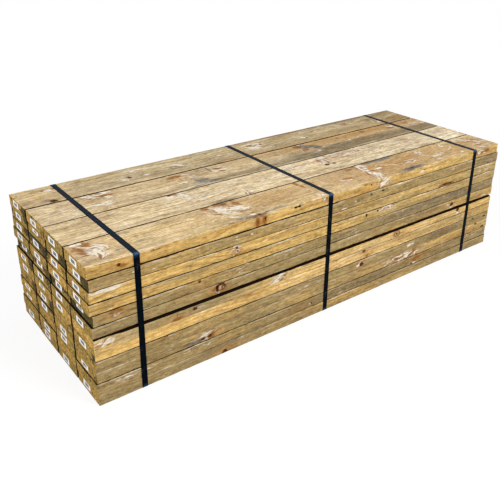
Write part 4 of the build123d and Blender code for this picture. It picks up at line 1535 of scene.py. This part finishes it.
def strap_mesh(name, look):
    """Makes one strap: a flat section with rounded edges carried round the stack on a
    rounded rectangle, and a second short layer where its ends overlap on the back."""
    low, high = (np.array(corner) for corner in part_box(name))
    middle_x = (low[0] + high[0]) / 2
    t, half = look.thickness, look.width / 2
    edge = min(look.edge, t / 2.2)
    section = np.array([
        (-half, edge), (-half, t - edge), (-half + edge, t), (half - edge, t),
        (half, t - edge), (half, edge), (half - edge, 0), (-half + edge, 0),
    ])

    # Inner path, counter-clockwise seen from the far end: each bend's middle and first angle
    y0, z0 = low[1] + t, low[2] + t
    y1, z1 = high[1] - 2 * t, high[2] - t
    r = look.bend
    bends = (
        (y0 + r, z0 + r, math.pi), (y1 - r, z0 + r, 1.5 * math.pi),
        (y1 - r, z1 - r, 0), (y0 + r, z1 - r, 0.5 * math.pi),
    )
    turn = np.linspace(0, math.pi / 2, BEND_POINTS)
    ahead = np.concatenate([-BEND_LEAD, np.zeros(BEND_POINTS), BEND_LEAD[::-1]])
    # Share of the painted highlight before, round and after each bend
    bend_highlight = np.concatenate([BEND_HIGHLIGHT, np.ones(BEND_POINTS), BEND_HIGHLIGHT[::-1]])
    spots = []
    facing = []
    for middle_y, middle_z, first in bends:
        around = first + np.concatenate([np.zeros(2), turn, np.full(2, turn[-1])])
        face = np.stack([np.cos(around), np.sin(around)], -1)
        way = np.stack([-np.sin(around), np.cos(around)], -1)
        spots.append(np.array([middle_y, middle_z]) + r * face + ahead[:, None] * way)
        facing.append(face)
    path = np.concatenate(spots)
    out = np.concatenate(facing)

    def carry(line, faces):
        """Returns the section at every point of a line, with its thickness outwards."""
        offsets = line[:, None, :] + faces[:, None, :] * section[None, :, 1:2]
        x = np.broadcast_to(middle_x + section[None, :, 0:1], offsets.shape[:2] + (1,))
        return np.concatenate([x, offsets], -1)

    ring = carry(path, out)
    rows, columns = ring.shape[:2]

    # Upper layer of the overlap, with its two ends shut
    seal_low, seal_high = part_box("strap_seal_" + name[-1])
    tail_z = (seal_low[2] + seal_high[2]) / 2 + look.overlap / 2 * TAIL_STATIONS
    stations = len(TAIL_STATIONS)
    tail_path = np.stack([np.full(stations, y1 + t), tail_z], -1)
    tail = carry(tail_path, np.tile([[1.0, 0.0]], (stations, 1)))
    first = rows * columns
    last = first + (stations - 1) * columns
    shut = np.array([[0, 1, 2, 3], [0, 3, 4, 7], [4, 5, 6, 7]])
    quads = np.concatenate([
        tube_quads(rows, columns, closed=True), tube_quads(stations, columns) + first,
        shut[:, ::-1] + first, shut + last,
    ])
    points = np.concatenate([ring.reshape(-1, 3), tail.reshape(-1, 3)])
    mesh = fill_mesh(name + "_band", points, quads)

    # How strong the painted highlight is at each point of a bend, where it lies across the strap, how level
    # it lies
    flat = np.zeros(stations)
    highlight = np.append(np.tile(bend_highlight, len(bends)), flat)[:, None]
    level = np.append(np.maximum(out[:, 1], 0), flat)[:, None]
    sheen = np.stack(np.broadcast_arrays(highlight, section[None, :, 0] / half, level), -1)
    store(mesh, "sheen", "FLOAT_VECTOR", "vector", sheen)
    return mesh


def strap_material(look, title, scuffing):
    """Black strap paint. It gives the eye a satin blue-black face with a painted sky reflection along
    its middle, strongest on the top, a painted highlight at the bends, grey where it has rubbed thin in
    lines, and a little sawdust."""
    material, tree = new_material(title)
    place = node(tree, "TexCoord").node.outputs["Object"]
    rubbed = speckle(tree, place, (1.1, 70, 70), 3, 0.6)
    cloud = speckle(tree, place, (38, 38, 38), 3, 0.6)
    grit = speckle(tree, place, (2.4, 2.4, 2.4), 2, 0.6)
    worn = node(tree, "Math MULTIPLY", rubbed, cloud)
    worn = node(tree, "MapRange SMOOTHSTEP", worn, 0.30, 0.48)
    worn = node(tree, "Math MULTIPLY", worn, scuffing)
    sheen = node(tree, "Attribute", attribute_name="sheen").node.outputs["Vector"]
    bend, aside, level = node(tree, "SeparateXYZ", sheen).node.outputs
    # Painted sky reflection along the middle of the strap, strongest where it lies on top
    middle = node(tree, "Math ABSOLUTE", aside)
    middle = node(tree, "MapRange SMOOTHSTEP", middle, 0.95, 0.3)
    lit = node(tree, "Math MULTIPLY_ADD", level, 0.34, 0.03)
    lit = node(tree, "Math MULTIPLY", lit, middle)
    # Painted highlight at the bends, strongest along the middle
    highlight = node(tree, "Math MULTIPLY_ADD", middle, 0.5, 0.5)
    for factor in (bend, 0.6):
        highlight = node(tree, "Math MULTIPLY", highlight, factor)
    dusty = node(tree, "Math MULTIPLY", cloud, grit)
    dusty = node(tree, "MapRange SMOOTHSTEP", dusty, 0.33, 0.5)
    dusty = node(tree, "Math MULTIPLY", dusty, 0.35)
    paint = opaque(look.paint)
    for cover, film in (
        (lit, look.sky_sheen), (worn, look.scuff), (highlight, look.bend_highlight), (dusty, look.dust),
    ):
        paint = node(tree, "Mix RGBA", cover, paint, opaque(film))
    dull = 0.24
    for pattern, weight in ((cloud, 0.3), (dusty, 0.5)):
        dull = node(tree, "Math MULTIPLY_ADD", pattern, weight, dull)
    bump = node(tree, "Bump", inputs={"Strength": 0.25, "Distance": 0.4 * MM, "Height": rubbed})
    shader = node(tree, "BsdfPrincipled", inputs={
        "Base Color": paint, "Roughness": dull, "Normal": bump, "Specular IOR Level": 0.015,
    })
    node(tree, "OutputMaterial", shader)
    return material


def scatter(course, column, course_step, column_step, steps):
    """Returns a share from -1 to 1 that changes from one sleeper to the next."""
    return 2 * ((course * course_step + column * column_step + 1) % steps) / (steps - 1) - 1


def label_places():
    """Returns for each label its middle in y and z, the x of the end that it sits on, the
    share of its height that is left, how far up that sits, and a seed, in columns."""
    places = []
    for column, letter in enumerate(COLUMNS):
        for course, mark in enumerate(LABEL_ROWS[letter], start=1):
            if mark != "x":
                continue
            code = f"{course:02d}{letter}"
            low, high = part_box("sleeper_" + code)
            y = (low[1] + high[1]) / 2 + LABEL_OFFSET + LABEL_SPREAD * scatter(course, column, 4, 1, 9)
            z = (low[2] + high[2]) / 2 + LABEL_LIFT * scatter(course, column, 2, 5, 7)
            places.append((y, z, low[0], *TORN_LABELS.get(code, (1.0, 0.0)), course * 5 + column))
    return np.array(places).T


def labels_mesh(look):
    """Makes all labels as thin closed slabs: a grid over each label's face, bulged a
    little off the wood in a slow wave, with a back sheet and rims."""
    y, z, x, kept, raised, seed = label_places()[..., None]
    count = len(seed)
    across, up = LABEL_GRID
    u, v = np.meshgrid(np.linspace(0, 1, across), np.linspace(0, 1, up), indexing="ij")
    u, v = u.ravel(), v.ravel()
    py = y - (u - 0.5) * look.width
    pz = z + ((v - 0.5) * kept + raised * 0.5) * look.height
    bulge = LABEL_BULGE * (1 + np.sin(5 * u + seed) * np.cos(3 * v + 2 * seed))
    front = np.stack([x - look.thickness - bulge, py, pz], -1)
    back = np.stack([np.broadcast_to(x - LABEL_AIR, py.shape), py, pz], -1)
    points = np.concatenate([front, back], 1)

    # Quads of one label: its face, its back and the rim between them
    per = across * up
    i, j = np.meshgrid(np.arange(across - 1), np.arange(up - 1), indexing="ij")
    cell = (i * up + j).ravel()
    face = np.stack([cell, cell + up, cell + up + 1, cell + 1], -1)
    rim = np.concatenate([
        np.arange(across) * up, (across - 1) * up + np.arange(1, up),
        np.arange(across - 2, -1, -1) * up + up - 1, np.arange(up - 2, 0, -1),
    ])
    rim_next = np.roll(rim, -1)
    skirt = np.stack([rim, rim + per, rim_next + per, rim_next], -1)
    one = np.concatenate([face, face[:, ::-1] + per, skirt])
    quads = (one[None] + (np.arange(count) * 2 * per)[:, None, None]).reshape(-1, 4)
    mesh = fill_mesh("end_labels_film", points.reshape(-1, 3), quads)

    corner = np.empty(len(mesh.loops), np.int32)
    mesh.loops.foreach_get("vertex_index", corner)
    uv = np.tile(np.stack([u, v], -1), (2 * count, 1))
    layer = mesh.uv_layers.new(name="film")
    layer.data.foreach_set("uv", uv[corner].astype(np.float32).ravel())
    store(mesh, "batch", "FLOAT", "value", np.repeat(seed, 2 * per))
    return mesh


def label_material(look):
    """White label film. It gives the eye a clean satin white with a block of plain dark
    bars in its middle, and grime that differs from label to label."""
    material, tree = new_material("white_label_film")
    uv = node(tree, "UVMap", uv_map="film")
    batch = node(tree, "Attribute", attribute_name="batch").node.outputs["Fac"]
    u, v, _ = node(tree, "SeparateXYZ", uv).node.outputs

    # Bars are drawn 3 mm wide, because real ones would be too fine to see
    bars_at = node(tree, "Math MULTIPLY", u, look.width / (2.8 * MM))
    bars_at = node(tree, "CombineXYZ", bars_at, batch, 0.0)
    bars = node(tree, "TexNoise", inputs={"Vector": bars_at, "Scale": 1.0, "Detail": 1.0, "Roughness": 0.5})
    block = node(tree, "MapRange SMOOTHSTEP", bars, 0.33, 0.42)

    # The block ends at a share of the width and the height from its middle
    for place, middle, start, full in ((u, 0.5, 0.30, 0.27), (v, 0.52, 0.31, 0.28)):
        off = node(tree, "Math ADD", place, -middle)
        off = node(tree, "Math ABSOLUTE", off)
        inside = node(tree, "MapRange", off, start, full)
        block = node(tree, "Math MULTIPLY", block, inside)
    block = node(tree, "Math MULTIPLY", block, 0.95)
    place = node(tree, "TexCoord").node.outputs["Object"]
    dirt = speckle(tree, place, (22, 22, 22), 3, 0.6)
    dirt = node(tree, "MapRange SMOOTHSTEP", dirt, 0.52, 0.75)
    dirt = node(tree, "Math MULTIPLY", dirt, 0.32)
    film = opaque(look.film)
    for cover, paint in ((block, look.ink), (dirt, look.grime)):
        film = node(tree, "Mix RGBA", cover, film, opaque(paint))
    dull = node(tree, "Math MULTIPLY_ADD", dirt, 0.5, 0.42)
    shader = node(tree, "BsdfPrincipled", inputs={"Base Color": film, "Roughness": dull})
    node(tree, "OutputMaterial", shader)
    return material


def looked_at(tree):
    """Returns 1 for what the camera sees, also in gloss and through glass, and 0 for light."""
    seen = node(tree, "LightPath")
    looked = seen
    for ray in ("Is Glossy Ray", "Is Transmission Ray"):
        looked = node(tree, "Math MAXIMUM", looked, seen.node.outputs[ray])
    return looked


def floor_material(look):
    """Pale floor. It gives the eye plain white, with a faint shadow round the bundle."""
    material, tree = new_material("pale_floor")
    place = node(tree, "TexCoord").node.outputs["Object"]
    away = node(tree, "VectorMath MULTIPLY", place, FLOOR_OVAL)
    away = node(tree, "VectorMath LENGTH", away)
    near = node(tree, "MapRange SMOOTHSTEP", away, FLOOR_FAR, FLOOR_NEAR)
    plain = node(tree, "BsdfDiffuse", opaque(look.floor))
    dimmed = node(tree, "BsdfDiffuse", FLOOR_SHADE)
    glow = node(tree, "Emission", WHITE, FLOOR_GLOW)
    lit = node(tree, "AddShader", dimmed, glow)
    white = node(tree, "Emission", WHITE, 1.0)
    bright = node(tree, "MixShader", near, white, lit)
    mixed = node(tree, "MixShader", looked_at(tree), plain, bright)
    node(tree, "OutputMaterial", mixed)
    return material


class BUNDLE_OT_sleepers(bpy.types.Operator):
    """Builds the sawn pine sleepers"""

    bl_idname = "bundle.sleepers"
    bl_label = "Sleepers"

    def execute(self, context):
        look = context.scene.sleeper_look
        material = pine_material(look)
        for course in COURSES:
            for letter in COLUMNS:
                sleeper = Sleeper(course, letter, look)
                place_piece(sleeper.mesh(), material, sleeper.name)
        return {"FINISHED"}


class BUNDLE_OT_straps(bpy.types.Operator):
    """Builds the steel straps round the stack"""

    bl_idname = "bundle.straps"
    bl_label = "Straps"

    def execute(self, context):
        look = context.scene.strap_look
        material = strap_material(look, "black_strap_paint", STRAP_SCUFFING)
        for name in STRAPS:
            place_piece(strap_mesh(name, look), material, name)
        return {"FINISHED"}


class BUNDLE_OT_seals(bpy.types.Operator):
    """Finishes the crimped seals on the back"""

    bl_idname = "bundle.seals"
    bl_label = "Strap seals"

    def execute(self, context):
        look = context.scene.strap_look
        material = strap_material(look, "black_seal_paint", SEAL_SCUFFING)
        for name in SEALS:
            seal = bpy.data.objects[name]
            seal.data.materials.clear()
            seal.data.materials.append(material)
        return {"FINISHED"}


class BUNDLE_OT_labels(bpy.types.Operator):
    """Builds the plain labels on the near ends"""

    bl_idname = "bundle.labels"
    bl_label = "End labels"

    def execute(self, context):
        look = context.scene.label_look
        place_piece(labels_mesh(look), label_material(look), "end_labels")
        return {"FINISHED"}


class BUNDLE_OT_stage(bpy.types.Operator):
    """Sets the camera, the lamps and the pale floor"""

    bl_idname = "bundle.stage"
    bl_label = "Stage"

    def execute(self, context):
        scene = context.scene
        look = scene.stage_look
        scene.view_settings.view_transform = "Standard"

        camera = bpy.data.objects.new("camera", bpy.data.cameras.new("camera"))
        scene.collection.objects.link(camera)
        camera.data.lens = look.lens
        camera.data.sensor_width = SENSOR_WIDTH
        camera.data.shift_y = look.shift
        camera.data.clip_end = CLIP_END
        camera.matrix_world = (
            Matrix.Translation(look.place)
            @ Matrix.Rotation(-look.heading, 4, "Z")
            @ Matrix.Rotation(math.pi / 2 - look.dip, 4, "X")
            @ Matrix.Rotation(look.roll, 4, "Z")
        )
        scene.camera = camera

        for name, place, size, power in LAMPS:
            lamp = bpy.data.objects.new(name, bpy.data.lights.new(name, "AREA"))
            scene.collection.objects.link(lamp)
            lamp.data.size = size
            lamp.data.energy = power
            aim = Vector(place) - Vector(LAMP_TARGET)
            lamp.matrix_world = Matrix.Translation(place) @ aim.to_track_quat("Z", "Y").to_matrix().to_4x4()

        # The sky is white where it is seen and softer where it lights
        world = bpy.data.worlds.new("sky")
        scene.world = world
        world.use_nodes = True
        tree = world.node_tree
        tree.nodes.clear()
        strength = node(tree, "Mix", looked_at(tree), look.sky, 1.0)
        sky = node(tree, "Background", WHITE, strength)
        node(tree, "OutputWorld", sky)

        corners = FLOOR_HALF * np.array([(-1, -1, 0), (1, -1, 0), (1, 1, 0), (-1, 1, 0)])
        mesh = fill_mesh("floor", corners, np.array([[0, 1, 2, 3]]))
        mesh.materials.append(floor_material(look))
        floor = bpy.data.objects.new("floor", mesh)
        scene.collection.objects.link(floor)
        return {"FINISHED"}


class BUNDLE_PT_pieces(bpy.types.Panel):
    """Lists the pieces of the bundle"""

    bl_label = "Sleeper bundle"
    bl_idname = "BUNDLE_PT_pieces"
    bl_space_type = "VIEW_3D"
    bl_region_type = "UI"
    bl_category = "Bundle"

    def draw(self, context):
        scene = context.scene
        groups = (
            ("sleeper_look", ("bundle.sleepers",)),
            ("strap_look", ("bundle.straps", "bundle.seals")),
            ("label_look", ("bundle.labels",)),
            ("stage_look", ("bundle.stage",)),
        )
        for group, operators in groups:
            box = self.layout.box()
            look = getattr(scene, group)
            for field in look.bl_rna.properties:
                if field.identifier not in ("rna_type", "name"):
                    box.prop(look, field.identifier)
            for operator in operators:
                box.operator(operator)


CLASSES = (
    SleeperLook, StrapLook, LabelLook, StageLook,
    BUNDLE_OT_sleepers, BUNDLE_OT_straps, BUNDLE_OT_seals, BUNDLE_OT_labels, BUNDLE_OT_stage,
    BUNDLE_PT_pieces,
)
LOOKS = {
    "sleeper_look": SleeperLook, "strap_look": StrapLook, "label_look": LabelLook, "stage_look": StageLook,
}


def register():
    """Registers the classes and the looks that a scene holds."""
    for item in CLASSES:
        bpy.utils.register_class(item)
    for name, group in LOOKS.items():
        setattr(bpy.types.Scene, name, bpy.props.PointerProperty(type=group))


def unregister():
    """Takes away what register added."""
    for name in LOOKS:
        delattr(bpy.types.Scene, name)
    for item in reversed(CLASSES):
        bpy.utils.unregister_class(item)


def main():
    """Builds the bundle and the stage."""
    register()
    bpy.ops.bundle.stage()
    bpy.ops.bundle.sleepers()
    bpy.ops.bundle.straps()
    bpy.ops.bundle.seals()
    bpy.ops.bundle.labels()


if __name__ == "__main__":
    main()
